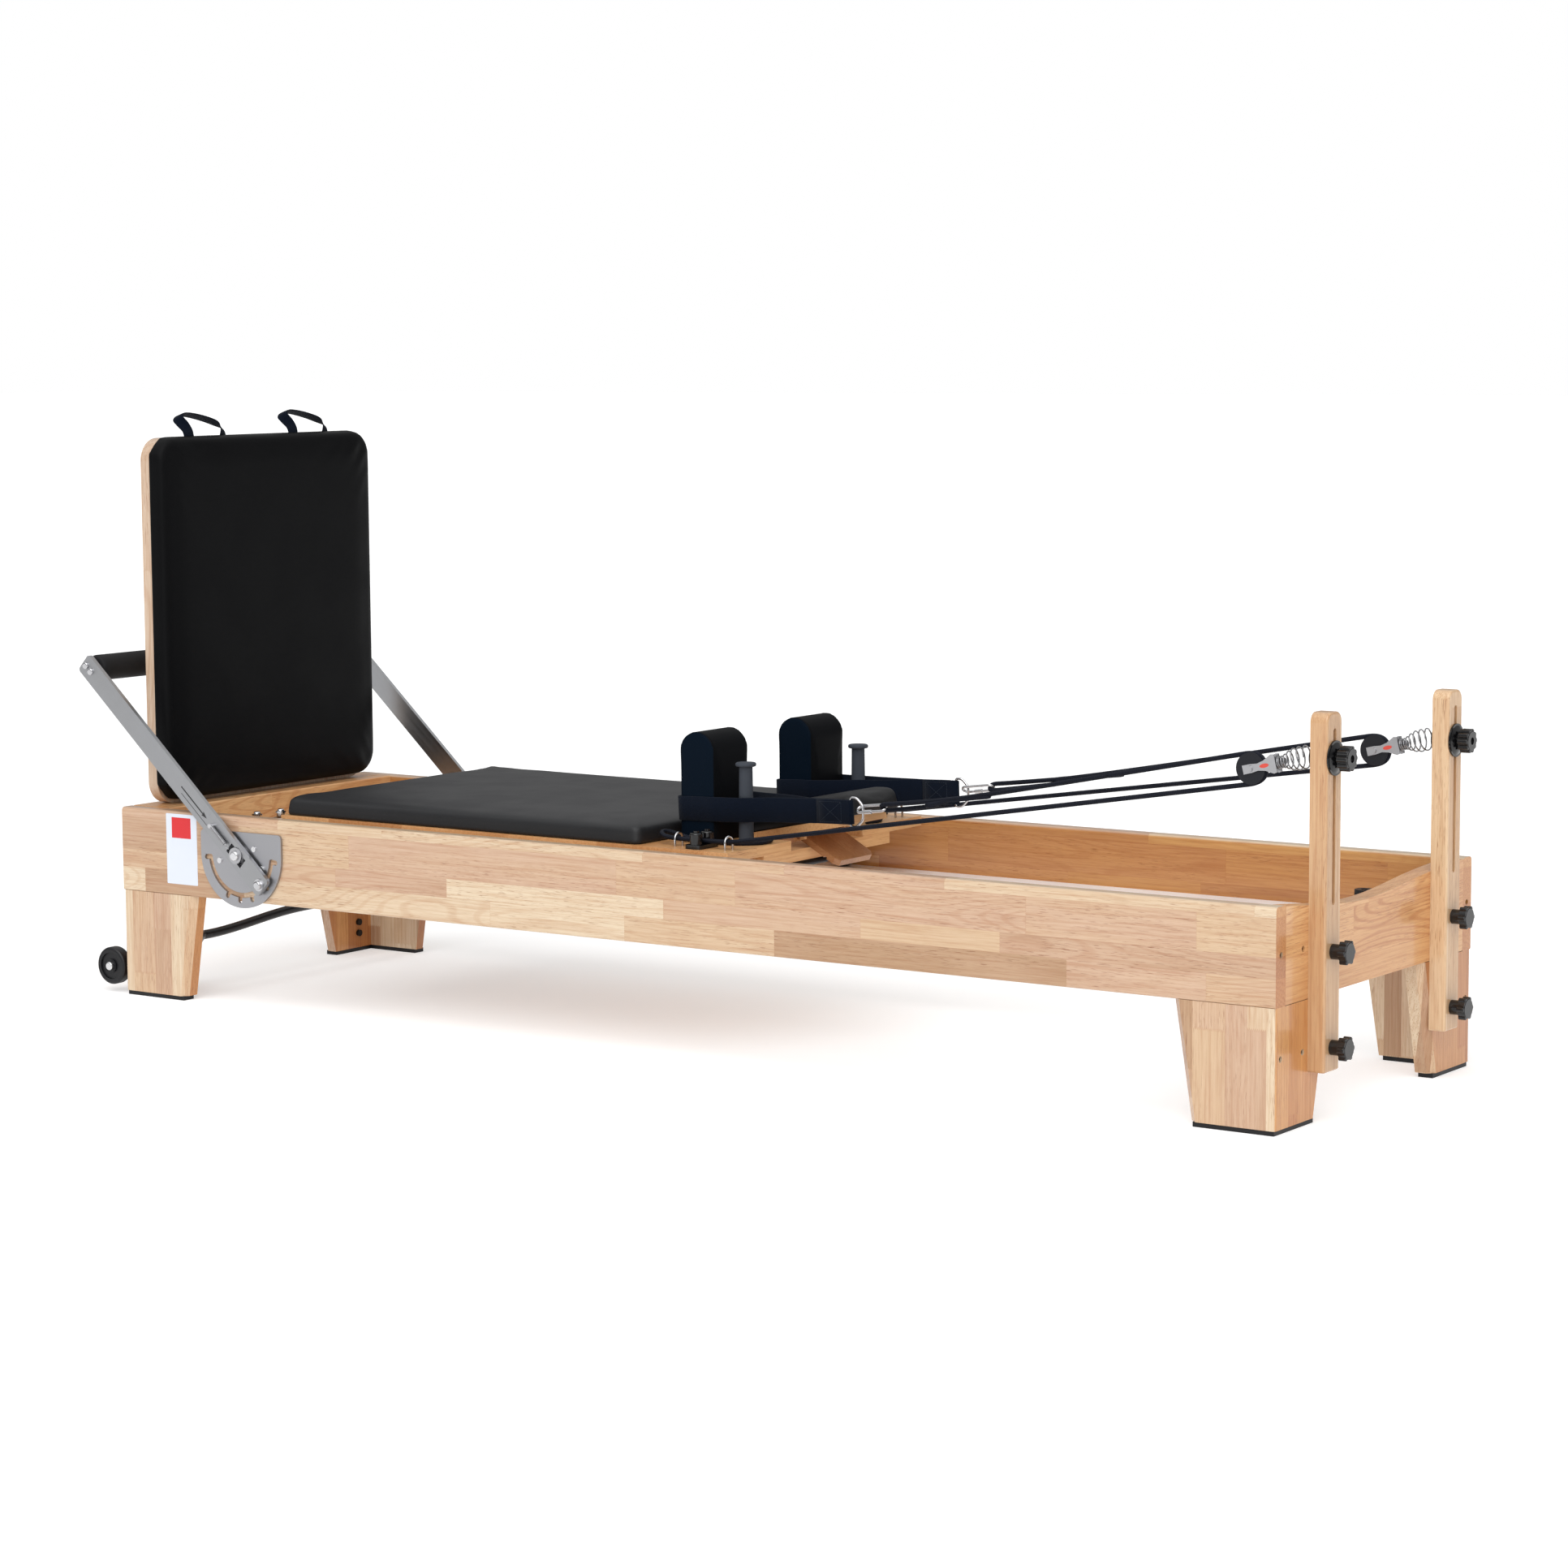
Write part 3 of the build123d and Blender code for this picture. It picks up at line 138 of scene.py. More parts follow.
def add_surround():
    """White to the camera, softer as a light, and dim near the horizon in reflections."""
    world = bpy.data.worlds.new("studio")
    world.use_nodes = True
    tree = world.node_tree
    ways = tree.nodes.new("ShaderNodeLightPath").outputs
    spot = tree.nodes.new("ShaderNodeSeparateXYZ")
    tree.links.new(tree.nodes.new("ShaderNodeTexCoord").outputs["Generated"], spot.inputs[0])
    height = tree.nodes.new("ShaderNodeMapRange")
    tree.links.new(spot.outputs["Z"], height.inputs["Value"])
    for name, value in (("From Min", 0.25), ("From Max", 0.85), ("To Min", 0.30), ("To Max", 1.1)):
        height.inputs[name].default_value = value
    value = SKY_LIGHT
    for ray, strength in (("Is Glossy Ray", height.outputs["Result"]), ("Is Camera Ray", 1.0)):
        pick = tree.nodes.new("ShaderNodeMix")
        tree.links.new(ways[ray], pick.inputs["Factor"])
        for slot, item in ((2, value), (3, strength)):
            if isinstance(item, float):
                pick.inputs[slot].default_value = item
            else:
                tree.links.new(item, pick.inputs[slot])
        value = pick.outputs["Result"]
    ground = tree.nodes["Background"]
    ground.inputs["Color"].default_value = (1, 1, 1, 1)
    tree.links.new(value, ground.inputs["Strength"])
    bpy.context.scene.world = world


def add_studio():
    """A pale floor, an even white surround and soft lights."""
    r = FLOOR_REACH
    corners = [(-r, -r, 0), (r, -r, 0), (r, r, 0), (-r, r, 0)]
    floor = link("floor", new_mesh("floor", corners, [(0, 1, 2, 3)]))
    glow = {"Emission_Color": (1, 1, 1, 1), "Emission_Strength": FLOOR_GLOW,
            "Specular_IOR_Level": 0.0}
    floor.data.materials.append(plain("floor_white", (0.72, 0.72, 0.72), 0.9, vary=0.0, **glow))
    add_surround()
    bpy.context.scene.view_settings.view_transform = "Standard"
    add_light("key", "SUN", (1.5, -4.0, 5.5), (0, 0, 0), 1.9, 60)
    add_light("front", "AREA", (2.6, -4.6, 2.2), (0, 0, 0.4), 40, 2.4)


# ---- material building blocks --------------------------------------------------------
class Tree:
    """A material's nodes, added by short calls."""

    def __init__(self, name):
        self.material = bpy.data.materials.new(name)
        self.material.use_nodes = True
        self.tree = self.material.node_tree
        self.shader = self.tree.nodes["Principled BSDF"]

    def put(self, value, socket):
        if isinstance(value, bpy.types.NodeSocket):
            self.tree.links.new(value, socket)
        else:
            socket.default_value = value

    def node(self, kind, inputs=(), **settings):
        node = self.tree.nodes.new(kind)
        for key, value in settings.items():
            setattr(node, key, value)
        for key, value in dict(inputs).items():
            self.put(value, node.inputs[key])
        return node

    def math(self, operation, *values, clamp=False):
        node = self.node("ShaderNodeMath", operation=operation, use_clamp=clamp)
        for value, socket in zip(values, node.inputs):
            self.put(value, socket)
        return node.outputs[0]

    def times(self, first, second):
        return self.math("MULTIPLY", first, second)

    def plus(self, first, second):
        return self.math("ADD", first, second)

    def vector_math(self, operation, first, second):
        inputs = {0: first, 1: second}
        return self.node("ShaderNodeVectorMath", inputs, operation=operation).outputs[0]

    def place(self, output="Object"):
        """Object or UV coordinates."""
        return self.node("ShaderNodeTexCoord").outputs[output]

    def parts(self, vector):
        return self.node("ShaderNodeSeparateXYZ", {"Vector": vector}).outputs

    def vector(self, x, y, z):
        return self.node("ShaderNodeCombineXYZ", {"X": x, "Y": y, "Z": z}).outputs[0]

    def noise(self, vector, scale, detail=2.0, roughness=0.5):
        node = self.node("ShaderNodeTexNoise", {"Vector": vector, "Scale": scale,
                                                "Detail": detail, "Roughness": roughness})
        return node.outputs["Fac"]

    def between(self, value, low, high, out_low=0.0, out_high=1.0):
        """value from low..high to out_low..out_high, smoothly and clamped."""
        inputs = {"Value": value, "From Min": low, "From Max": high,
                  "To Min": out_low, "To Max": out_high}
        node = self.node("ShaderNodeMapRange", inputs, interpolation_type="SMOOTHSTEP")
        return node.outputs["Result"]

    def mix(self, amount, first, second, blend="MIX"):
        node = self.node("ShaderNodeMix", data_type="RGBA", blend_type=blend)
        self.put(amount, node.inputs[0])
        self.put(first, node.inputs[6])
        self.put(second, node.inputs[7])
        return node.outputs[2]

    def ramp(self, value, stops):
        node = self.node("ShaderNodeValToRGB", {"Fac": value})
        while len(node.color_ramp.elements) < len(stops):
            node.color_ramp.elements.new(0.5)
        for element, (position, colour) in zip(node.color_ramp.elements, stops):
            element.position, element.color = position, (*colour, 1)
        return node.outputs["Color"]

    def bump(self, height, depth):
        inputs = {"Height": height, "Distance": depth, "Strength": 1.0}
        return self.node("ShaderNodeBump", inputs).outputs["Normal"]

    def finish(self, colour, roughness, normal, **fixed):
        self.put(colour, self.shader.inputs["Base Color"])
        self.put(roughness, self.shader.inputs["Roughness"])
        self.put(normal, self.shader.inputs["Normal"])
        for name, value in fixed.items():
            self.shader.inputs[name.replace("_", " ")].default_value = value
        return self.material


def shade(colour, share):
    """The colour made darker or lighter, with its alpha."""
    return tuple(c * share for c in colour) + (1,)


def plain(name, colour, roughness, grain=400.0, depth=0.00003, vary=0.12, **fixed):
    """One-colour stuff with faint mottling, uneven gloss and a fine surface grain."""
    t = Tree(name)
    spot = t.place()
    broad = t.noise(spot, 9.0, 3.0)
    fine = t.noise(spot, grain, 2.0)
    tone = t.mix(broad, shade(colour, 1 - vary), (*colour, 1))
    rough = t.between(broad, 0.2, 0.8, roughness * 0.85, min(1.0, roughness * 1.15))
    return t.finish(tone, rough, t.bump(fine, depth), **fixed)


def brushed(name, colour, roughness, direction):
    """Brushed metal: fine scratches that run along direction, in X and Z."""
    t = Tree(name)
    x, y, z = t.parts(t.place())[:3]
    dx, dz = direction
    along = t.plus(t.times(x, dx), t.times(z, dz))
    across = t.math("SUBTRACT", t.times(z, dx), t.times(x, dz))
    lines = t.noise(t.vector(t.times(along, 6.0), t.times(across, 900.0),
                             t.times(y, 900.0)), 1.0, 3.0)
    cloud = t.noise(t.place(), 14.0, 3.0)
    tone = t.mix(lines, shade(colour, 0.82), (*colour, 1))
    tone = t.mix(t.between(cloud, 0.3, 0.75, 0.0, 0.25), tone, (0.3, 0.3, 0.3, 1))
    rough = t.between(lines, 0.2, 0.8, roughness * 0.8, roughness * 1.25)
    return t.finish(tone, rough, t.bump(lines, 0.00002), Metallic=1.0)


def vinyl(name, colour, side_colour=None, specular=0.22, specks=0.5):
    """Upholstery vinyl with a pebbled grain; side_colour tints the faces towards -Y and +Y."""
    t = Tree(name)
    spot = t.place()
    cells = t.node("ShaderNodeTexVoronoi", {"Vector": spot, "Scale": 620.0},
                   feature="SMOOTH_F1").outputs["Distance"]
    wide = t.noise(spot, 11.0, 2.0)
    pebble = t.noise(spot, 1500.0, 2.0)
    tone = t.mix(wide, shade(colour, 0.7), shade(colour, 1.2))
    if side_colour:
        facing = t.math("ABSOLUTE", t.parts(t.place("Normal"))[1])
        tone = t.mix(t.between(facing, 0.55, 0.9), tone, (*side_colour, 1))
    tone = t.mix(t.between(pebble, 0.58, 0.78, 0.0, specks), tone, (0.05, 0.05, 0.054, 1))
    rough = t.between(wide, 0.3, 0.7, 0.46, 0.54)
    return t.finish(tone, rough, t.bump(cells, 0.0001), Specular_IOR_Level=specular)


def webbing(name, colour):
    """Woven nylon, from UVs in metres: u across the band and v along it."""
    t = Tree(name)
    u, v = t.parts(t.place("UV"))[:2]
    rib = t.math("SINE", t.times(v, 2 * math.pi / 0.0017))
    warp = t.math("SINE", t.times(u, 2 * math.pi / 0.0013))
    weave = t.times(rib, warp)
    fuzz = t.noise(t.place(), 900.0, 2.0)
    height = t.plus(weave, t.times(fuzz, 0.6))
    # Raised threads lighter than the hollows: painted highlight on the weave.
    tone = t.mix(t.between(height, -0.6, 1.3), (*colour, 1), shade(colour, 1.9))
    return t.finish(tone, 0.72, t.bump(height, 0.00022), Sheen_Weight=0.05, Sheen_Roughness=0.4,
                    Specular_IOR_Level=0.06)


def braid(name, colour, strands=8, pitch=0.0075):
    """Braided rope cover, from UVs: u once round, v in metres along."""
    t = Tree(name)
    u, v = t.parts(t.place("UV"))[:2]
    round_rope = t.times(u, 2 * math.pi * strands / 2)
    forward = t.times(v, 2 * math.pi / pitch)
    left = t.math("SINE", t.plus(round_rope, forward))
    right = t.math("SINE", t.math("SUBTRACT", round_rope, forward))
    height = t.plus(t.times(left, right),
                    t.times(t.noise(t.place(), 1500.0), 0.5))
    # Raised strands lighter than the hollows: painted highlight on the braid.
    tone = t.mix(t.between(height, -0.7, 1.2), (*colour, 1), shade(colour, 2.2))
    return t.finish(tone, 0.6, t.bump(height, 0.0004), Specular_IOR_Level=0.15)


# Rubberwood tones, from cream to pink-brown (linear colours).
CREAM, SAND, TAN = (0.656, 0.529, 0.373), (0.603, 0.451, 0.301), (0.558, 0.386, 0.238)
PINK, BROWN = (0.541, 0.363, 0.247), (0.41, 0.253, 0.141)
RAIL_TONES = ((0.0, CREAM), (0.25, SAND), (0.5, TAN), (0.72, PINK), (1.0, BROWN))
EDGE_TONES = ((0.0, (0.62, 0.49, 0.38)), (1.0, (0.53, 0.38, 0.26)))
WARM_TONES = ((0.0, (0.722, 0.425, 0.198)), (0.4, (0.663, 0.358, 0.152)),
              (0.75, (0.614, 0.318, 0.129)), (1.0, (0.517, 0.246, 0.095)))
RISER_TONES = ((0.0, (0.666, 0.475, 0.291)), (0.4, (0.612, 0.4, 0.224)),
               (0.75, (0.567, 0.355, 0.19)), (1.0, (0.477, 0.275, 0.14)))
DARK_TONES = ((0.0, (0.42, 0.20, 0.085)), (1.0, (0.33, 0.145, 0.055)))


def staves(t, grain, across, row, stave, finger):
    """Random numbers for the finger-jointed stave at each point, and how near its edge is."""
    lane = t.math("DIVIDE", across, row)
    lane = t.plus(lane, t.times(t.math("SINE", t.times(lane, 2.3)), 0.2))
    lane_number = t.math("FLOOR", lane)
    shift = t.node("ShaderNodeTexWhiteNoise", {"W": lane_number}, noise_dimensions="1D").outputs[0]
    tooth = t.math("PINGPONG", across, 0.0017)
    run = t.plus(grain, t.times(tooth, finger))
    run = t.math("DIVIDE", run, stave)
    wave = t.math("SINE", t.plus(t.times(run, 2.6), t.times(shift, 40.0)))
    run = t.plus(run, t.plus(t.times(wave, 0.27),
                                    t.times(shift, 9.0)))
    cell = t.vector(lane_number, t.math("FLOOR", run), 3.0)
    dice = t.node("ShaderNodeTexWhiteNoise", {"Vector": cell}, noise_dimensions="3D").outputs
    seam_across = t.times(t.math("PINGPONG", lane, 0.5), row)
    seam_along = t.times(t.math("PINGPONG", run, 0.5), stave)
    seam = t.math("MINIMUM", seam_across, seam_along)
    return dice["Value"], dice["Color"], seam


# Multiplied tints.  The first darkens and warms faces towards the machine's ends: end grain
# on the rails' ends, painted shade on the legs' side faces.  The second is painted shade on
# the faces that look in at the bed.
END_GRAIN_AND_PAINTED_SHADE, INSIDE_PAINTED_SHADE = (0.93, 0.58, 0.30, 1), (0.86, 0.57, 0.27, 1)


def facing_tints(t, tone, y, ends_grain_and_painted_shade, painted_shade_inside):
    """Faces towards the ends: end grain on rails, painted shade on legs; faces into the bed: painted
    shade.
    """
    facing = t.parts(t.place("Normal"))
    if ends_grain_and_painted_shade:
        # Darker, warmer faces towards the ends: end grain on rails, painted shade on legs.
        ends = t.between(t.math("ABSOLUTE", facing[0]), 0.6, 0.95)
        tone = t.mix(ends, tone, t.mix(1.0, tone, END_GRAIN_AND_PAINTED_SHADE, "MULTIPLY"))
    if painted_shade_inside:
        # Painted shade on the faces that look in at the bed.
        inwards = t.times(t.math("SIGN", y), t.times(facing[1], -1.0))
        tone = t.mix(t.between(inwards, 0.6, 0.95), tone, t.mix(1.0, tone, INSIDE_PAINTED_SHADE, "MULTIPLY"))
    return tone


def wood(name, tones, axes, row=0.045, stave=0.36, finger=0.6, figure=0.3, coat=0.5,
         ends_grain_and_painted_shade=False, painted_shade_inside=False):
    """Varnished wood.  axes says which way the grain, the lanes of staves and the depth run."""
    t = Tree(name)
    x, y, z = t.parts(t.place())[:3]
    ways = {"X": x, "Y": y, "Z": z, "XY": t.plus(x, y)}
    grain, across, depth = (ways[a] for a in axes)
    pick, dice, seam = staves(t, grain, across, row, stave, finger)
    jump = t.vector_math("MULTIPLY", dice, (3.1, 4.7, 5.3))
    spot = t.vector_math("ADD", t.vector(grain, across, depth), jump)

    def stretched(along, cross):
        return t.vector_math("MULTIPLY", spot, (along, cross, cross))

    field = t.noise(stretched(1.6, 10.0), 1.0, 1.0, 0.4)
    lines = t.between(t.math("SINE", t.times(field, 150.0)), 0.2, 1.0)
    shown = t.between(t.parts(dice)[1], 0.35, 0.8)
    streaks = t.noise(stretched(7.0, 260.0), 1.0, 4.0, 0.62)
    fibres = t.noise(stretched(24.0, 900.0), 1.0, 2.0, 0.5)
    pores = t.between(t.noise(stretched(42.0, 1150.0), 1.0, 1.0, 0.5), 0.62, 0.71)
    clouds = t.noise(stretched(3.0, 16.0), 1.0, 3.0)
    drift = t.times(t.math("SUBTRACT", clouds, 0.5), 0.45)
    base = t.ramp(t.math("ADD", pick, drift, clamp=True), tones)
    dark = t.mix(1.0, base, (0.74, 0.54, 0.42, 1), "MULTIPLY")
    deep = t.mix(1.0, base, (0.46, 0.27, 0.18, 1), "MULTIPLY")
    tone = t.mix(t.times(t.times(lines, shown), figure), base, dark)
    tone = t.mix(t.between(streaks, 0.44, 0.72, 0.0, 0.55), tone, dark)
    tone = t.mix(t.between(streaks, 0.50, 0.30, 0.0, 0.40), tone,
                 t.mix(1.0, tone, (1.14, 1.19, 1.26, 1), "MULTIPLY"))
    tone = t.mix(t.between(fibres, 0.45, 0.75, 0.0, 0.30), tone, dark)
    busy = t.between(t.noise(stretched(1.5, 10.0), 1.0, 2.0), 0.38, 0.62, 0.15, 0.9)
    tone = t.mix(t.times(pores, busy), tone, deep)
    tone = t.mix(t.between(seam, 0.0006, 0.0001, 0.0, 0.35), tone, dark)
    # Faces towards the ends tinted as end grain and painted shade; inward faces get painted shade.
    tone = facing_tints(t, tone, y, ends_grain_and_painted_shade, painted_shade_inside)
    rough = t.between(streaks, 0.3, 0.7, 0.34, 0.42)
    height = t.math("SUBTRACT", t.times(streaks, 0.3), t.times(pores, 0.5))
    return t.finish(tone, rough, t.bump(height, 0.0001), Coat_Weight=coat, Coat_Roughness=0.12,
                    Specular_IOR_Level=0.35)


def bolt_steel(name):
    """Bright steel, but near black on the bolts in the frame's two end faces."""
    t = Tree(name)
    x = t.parts(t.place())[0]
    inside = t.math("MINIMUM", t.math("SUBTRACT", x, FOOT), t.math("SUBTRACT", FOOT + LENGTH, x))
    wheel_cap = t.math("LESS_THAN", inside, -0.01)
    bright = t.math("MAXIMUM", t.math("GREATER_THAN", inside, 0.012), wheel_cap)
    fine = t.noise(t.place(), 600.0, 2.0)
    silver = t.mix(fine, (0.58, 0.58, 0.59, 1), (0.72, 0.72, 0.73, 1))
    tone = t.mix(bright, (0.012, 0.009, 0.008, 1), silver)
    return t.finish(tone, t.between(fine, 0.3, 0.7, 0.2, 0.3), t.bump(fine, 0.00002), Metallic=0.9)


# ---- mesh building blocks ------------------------------------------------------------
def add_piece(name, mesh, body, material):
    piece = link(name, mesh)
    mesh.materials.clear()
    mesh.materials.append(material)
    mesh.shade_smooth()
    if body:
        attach(piece, body)
    return piece


def direction_at(points, i):
    """Unit direction of a path at one of its points."""
    return (points[min(i + 1, len(points) - 1)] - points[max(i - 1, 0)]).normalized()


def frames(points):
    """Two directions across a path at each point, carried along it without twist."""
    side = direction_at(points, 0).orthogonal().normalized()
    result = []
    for i in range(len(points)):
        direction = direction_at(points, i)
        side = (side - direction * side.dot(direction)).normalized()
        result.append((side, direction.cross(side)))
    return result


def distances(points, start=0.0):
    """The way covered at each point of a path."""
    along = [start]
    for a, b in zip(points, points[1:]):
        along.append(along[-1] + (b - a).length)
    return along


def swept_mesh(name, vertices, along, across, cap):
    """Skins rings of vertices and caps them.  UVs are across and along; cap holds a cap's."""
    sides = len(across) - 1
    faces, spots = [], []
    for i, (v0, v1) in enumerate(zip(along, along[1:])):
        for k in range(sides):
            here, following = i * sides, (i + 1) * sides
            n = (k + 1) % sides
            faces.append((here + k, here + n, following + n, following + k))
            spots += [(across[k], v0), (across[k + 1], v0), (across[k + 1], v1), (across[k], v1)]
    last = (len(along) - 1) * sides
    faces += [tuple(range(sides))[::-1], tuple(range(last, last + sides))]
    mesh = new_mesh(name, vertices, faces)
    layer = mesh.uv_layers.new(name="UVMap")
    layer.data.foreach_set("uv", [c for spot in spots + cap + cap for c in spot])
    mesh.validate()
    return mesh


def tube_mesh(name, points, radius, sides=10, flat=1.0, start=0.0):
    """A tube round a path.  radius may be a list; flat squeezes it; UVs run round and along."""
    points = [Vector(p) for p in points]
    radii = radius if hasattr(radius, "__len__") else [radius] * len(points)
    vertices = []
    for point, size, (side, other) in zip(points, radii, frames(points)):
        for k in range(sides):
            turn = 2 * math.pi * k / sides
            vertices.append(point + side * (size * math.cos(turn))
                            + other * (size * flat * math.sin(turn)))
    across = [k / sides for k in range(sides + 1)]
    cap = [(u, 0.0) for u in across[:-1]]
    return swept_mesh(name, vertices, distances(points, start), across, cap)


def band_mesh(name, centres, widths, thick):
    """A flat woven band.  widths are the half-width vectors at each centre."""
    centres = [Vector(c) for c in centres]
    half = thick / 2
    vertices = []
    for i, (centre, width) in enumerate(zip(centres, widths)):
        normal = direction_at(centres, i).cross(width).normalized()
        edge = width.normalized() * (width.length - half * 0.7)
        outline = [(-edge, -half), (edge, -half), (width, 0.0), (edge, half), (-edge, half),
                   (-width, 0.0)]
        vertices += [centre + offset + normal * lift for offset, lift in outline]
    wide = 2 * widths[0].length
    across = (0.0, wide, wide + half, wide, 0.0, -half, 0.0)
    return swept_mesh(name, vertices, distances(centres), across, [(0.0, 0.0)] * len(outline))


def smooth_path(points, steps):
    """Catmull-Rom curve through a few points, for short trim."""
    points = [Vector(p) for p in points]
    last = len(points) - 1
    result = []
    for i in range(last):
        p = [points[min(max(i + k, 0), last)] for k in (-1, 0, 1, 2)]
        for s in range(steps):
            t = s / steps
            result.append(0.5 * (2 * p[1] + (p[2] - p[0]) * t
                                 + (2 * p[0] - 5 * p[1] + 4 * p[2] - p[3]) * t * t
                                 + (3 * p[1] - p[0] - 3 * p[2] + p[3]) * t ** 3))
    return result + [points[-1]]


def helix(start, end, radius, turns, steps):
    """Coil points from start to end."""
    start, end = Vector(start), Vector(end)
    along = (end - start).normalized()
    side = along.orthogonal().normalized()
    other = along.cross(side)
    count = int(turns * steps)
    points = []
    for i in range(count + 1):
        t = i / count
        turn = 2 * math.pi * turns * t
        points.append(start.lerp(end, t) + side * (radius * math.cos(turn))
                      + other * (radius * math.sin(turn)))
    return points


# ---- ropes ---------------------------------------------------------------------------
ROPE_DIAMETER = 0.008

# The near rope, from its loose end on the carriage, through the cleat, round the pulley
# and back to the loop in the snap hook.  X is from the foot end; the far rope mirrors it,
# lowered towards its pulley.
ROPE_ROUTE = [
    (1.332, -0.146, 0.3595), (1.343, -0.172, 0.3595), (1.329, -0.199, 0.3595),
    (1.300, -0.216, 0.3595), (1.265, -0.223, 0.360), (1.230, -0.2235, 0.3615),
    (1.202, -0.223, 0.366), (1.182, -0.2275, 0.372), (1.1735, -0.242, 0.375),
    (1.182, -0.2575, 0.3715), (1.202, -0.2625, 0.367), (1.326, -0.262, 0.367),
    (1.3734, -0.2597, 0.3745), (2.2585, -0.2163, 0.5154),
    (2.3058, -0.214, 0.5229), (2.3156, -0.214, 0.5494), (2.2974, -0.214, 0.5709),
    (2.2504, -0.2113, 0.5615), (1.750, -0.183, 0.461), (1.646, -0.177, 0.4465),
    (1.596, -0.1754, 0.4406), (1.5776, -0.1752, 0.4389), (1.5735, -0.1706, 0.4334),
    (1.5776, -0.166, 0.4279), (1.596, -0.1654, 0.4302), (1.646, -0.170, 0.4372),
    (1.700, -0.1765, 0.446),
]
FAR_DROP = 0.011           # the far pulley is set this much lower
DROP_FROM, DROP_TO = 1.646, 2.288
ROPE_CUT = 2.02            # the rope is three stretches that meet at this distance
SLACK_START, LIFT_START, LIFT_END = 1.585, 2.03, 2.25


def lowered(side, x, z):
    """Height of a rope point, with the far pulley's lower setting."""
    share = min(1.0, max(0.0, (x - DROP_FROM) / (DROP_TO - DROP_FROM)))
    return z - (FAR_DROP * share if side == "far" else 0.0)


def route_line(points):
    """The points of a smooth NURBS line that has these control points."""
    curve = bpy.data.curves.new("route", "CURVE")
    curve.dimensions = "3D"
    spline = curve.splines.new("NURBS")
    spline.points.add(len(points) - 1)
    for control, point in zip(spline.points, points):
        control.co = (*point, 1)
    spline.order_u = 3
    spline.use_endpoint_u = True
    spline.resolution_u = 12
    carrier = link("route", curve)
    line = bpy.data.meshes.new_from_object(evaluated(carrier))
    result = [v.co.copy() for v in line.vertices]
    bpy.data.objects.remove(carrier)
    bpy.data.meshes.remove(line)
    return result


def refine(points, longest):
    """The same line with no step over longest."""
    result = [points[0]]
    for a, b in zip(points, points[1:]):
        count = max(1, math.ceil((b - a).length / longest))
        result += [a.lerp(b, k / count) for k in range(1, count + 1)]
    return result


def length_of(points):
    return sum((b - a).length for a, b in zip(points, points[1:]))


def cut_at(points, x):
    """Splits a line wherever it crosses x."""
    runs, run = [], [points[0]]
    for a, b in zip(points, points[1:]):
        if (a.x - x) * (b.x - x) < 0:
            crossing = a.lerp(b, (x - a.x) / (b.x - a.x))
            run.append(crossing)
            runs.append(run)
            run = [crossing]
        run.append(b)
    runs.append(run)
    return runs


def add_rope(side, sign, material):
    """One rope: tail and lower run, the turn round the pulley, and the upper run and loop."""
    controls = [at(x, -sign * y, lowered(side, x, z)) for x, y, z in ROPE_ROUTE]
    line = refine(route_line(controls), 0.012)
    bodies = (("carriage", "frame", SLACK_START, ROPE_CUT - 0.02),
              ("frame", "pulley_" + side, LIFT_START, LIFT_END),
              ("carriage", "frame", SLACK_START, ROPE_CUT - 0.02))
    done = 0.0
    for part, run, (first, second, x0, x1) in zip(("lower", "turn", "upper"),
                                                  cut_at(line, FOOT + ROPE_CUT), bodies):
        name = f"rope_{side}_{part}"
        mesh = tube_mesh(name, run, ROPE_DIAMETER / 2, sides=12, start=done)
        piece = add_piece(name, mesh, None, material)
        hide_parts("rope_" + side)
        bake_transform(piece)
        done += length_of(run)


SLEEVE = {"near": (1.668, 1.795), "far": (1.700, 1.830)}
LOOP_END = 1.712           # the rope's own end, inside the sleeve
RUN_LOW, RUN_HIGH = Vector(ROPE_ROUTE[19]), Vector(ROPE_ROUTE[18])     # the run it is sewn on


def add_sleeve(side, sign, material):
    """Sewn sleeve over the doubled rope, behind the snap hook."""
    x0, x1 = SLEEVE[side]
    upper = RUN_HIGH - RUN_LOW
    count, points, radii = 26, [], []
    for i in range(count + 1):
        t = i / count
        x = x0 + (x1 - x0) * t
        double = min(1.0, max(0.0, (LOOP_END - x) / 0.03))
        run = RUN_LOW + upper * ((x - RUN_LOW.x) / upper.x)
        drop = 0.0042 * double
        points.append(at(x, -sign * run.y, lowered(side, x, run.z) - drop))
        swell = 0.0052 + 0.0036 * double
        radii.append(swell * (0.86 if i in (0, count) else 1.0))
    mesh = tube_mesh("rope_sleeve_" + side, points, radii, sides=16, flat=0.62)
    piece = add_piece("rope_sleeve_" + side, mesh, None, material)
    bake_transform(piece)


# ---- springs -------------------------------------------------------------------------
def pulley_line(side):
    """A pulley's axle, and the direction from it to its clamp."""
    axle, clamp = middle("sheave_" + side), middle("pulley_clamp_" + side)
    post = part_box("risers")[0][0]
    return axle, Vector((post - 0.015 - axle.x, 0, clamp.z - axle.z)).normalized()


